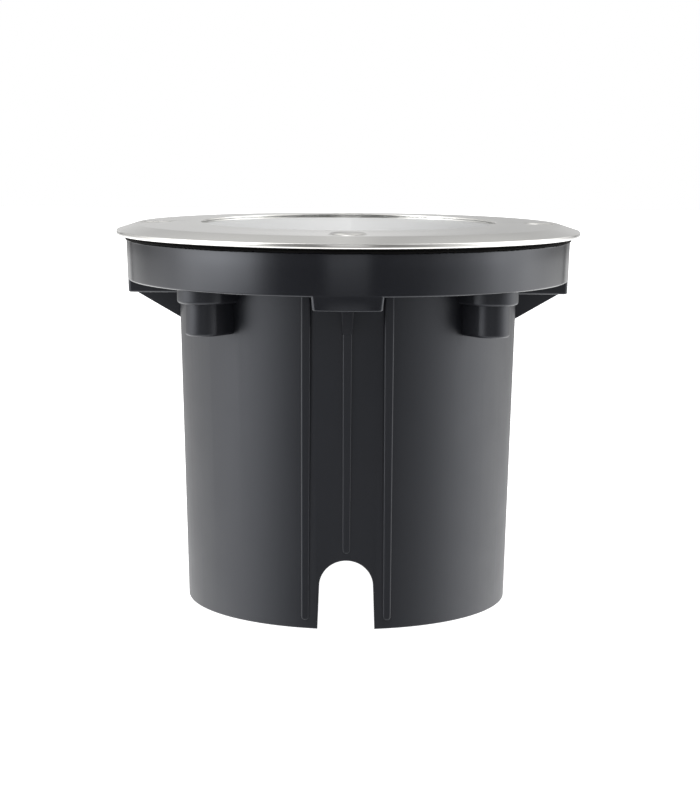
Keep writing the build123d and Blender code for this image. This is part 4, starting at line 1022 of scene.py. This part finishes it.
# The rest of the surround: (light at the first height, at the second, first height, second height), the
# heights as the Z of a direction; the last is along Y
CEILING_LOW = (1.0, 0.74, 0.10, 0.34)
CEILING_HIGH = (0.0, 0.24, 0.40, 0.63)
SKYLINE_FOOT = (0.0, 1.0, -0.078, -0.058)
SKYLINE_TOP = (1.0, 0.0, -0.02, 0.0)
SKYLINE_LIGHT = (0.5, -0.5, -0.3, 0.6)
ABOVE_FLOOR = (0.0, 1.0, -0.42, -0.11)
FLOOR_FRONT = (0.3, 1.3, -0.5, -0.85)
FLOOR_SHARE = (0.0, 1.0, -0.8, 0.1)
FLOOR_BEHIND = 2.4


def horizon_light(tree, x, y):
    """The surround's light in a direction, read off its round of soft boxes and gaps"""
    angle = maths(tree, "ARCTAN2", x, maths(tree, "MULTIPLY", y, -1.0))
    ramp = tree.nodes.new("ShaderNodeValToRGB")
    elements = ramp.color_ramp.elements
    while len(elements) < len(SURROUND):
        elements.new(0.5)
    for element, (degrees, radiance) in zip(elements, SURROUND):
        element.position = degrees / 360 + 0.5
        element.color = (*[radiance / SURROUND_SCALE] * 3, 1)
    link(tree, spread(tree, angle, 0.0, 1.0, -pi, pi), ramp.inputs["Fac"])
    return maths(tree, "MULTIPLY", ramp.outputs["Color"], SURROUND_SCALE)


def mixed(tree, share, first, second):
    """Two values mixed: the first by its share, the second by what is left"""
    rest = maths(tree, "SUBTRACT", 1.0, share)
    return maths(tree, "ADD", maths(tree, "MULTIPLY", first, share), maths(tree, "MULTIPLY", second, rest))


def floor_light(tree, y, z):
    """The light of the pale floor: dimmer in front of the object, and less so right below it"""
    return mixed(tree, spread(tree, y, *FLOOR_SHARE), FLOOR_BEHIND, spread(tree, z, *FLOOR_FRONT))


def box_light(tree, x, y, z):
    """The light of the soft boxes, dimmed towards the ceiling and changed along the floor's far edge"""
    ceiling = maths(tree, "ADD", spread(tree, z, *CEILING_LOW), spread(tree, z, *CEILING_HIGH))
    boxes = maths(tree, "MULTIPLY", horizon_light(tree, x, y), ceiling)
    band = maths(tree, "MULTIPLY", spread(tree, z, *SKYLINE_FOOT), spread(tree, z, *SKYLINE_TOP))
    skyline = maths(tree, "MULTIPLY", band, spread(tree, y, *SKYLINE_LIGHT))
    return maths(tree, "MULTIPLY", boxes, maths(tree, "ADD", skyline, 1.0))


def add_world():
    """A white surround for the eye; what the object mirrors is a studio of soft boxes over a pale floor"""
    world = bpy.data.worlds.new("surround")
    scene.world = world
    world.use_nodes = True
    tree = world.node_tree
    back = tree.nodes["Background"]
    place = tree.nodes.new("ShaderNodeTexCoord")
    split = tree.nodes.new("ShaderNodeSeparateXYZ")
    link(tree, place.outputs["Generated"], split.inputs[0])
    x, y, z = split.outputs
    share = spread(tree, z, *ABOVE_FLOOR)
    level = mixed(tree, share, box_light(tree, x, y, z), floor_light(tree, y, z))
    path = tree.nodes.new("ShaderNodeLightPath")
    back.inputs["Color"].default_value = (1, 1, 1, 1)
    link(tree, mixed(tree, path.outputs["Is Camera Ray"], 1.0, level), back.inputs["Strength"])


add_stage()
add_world()
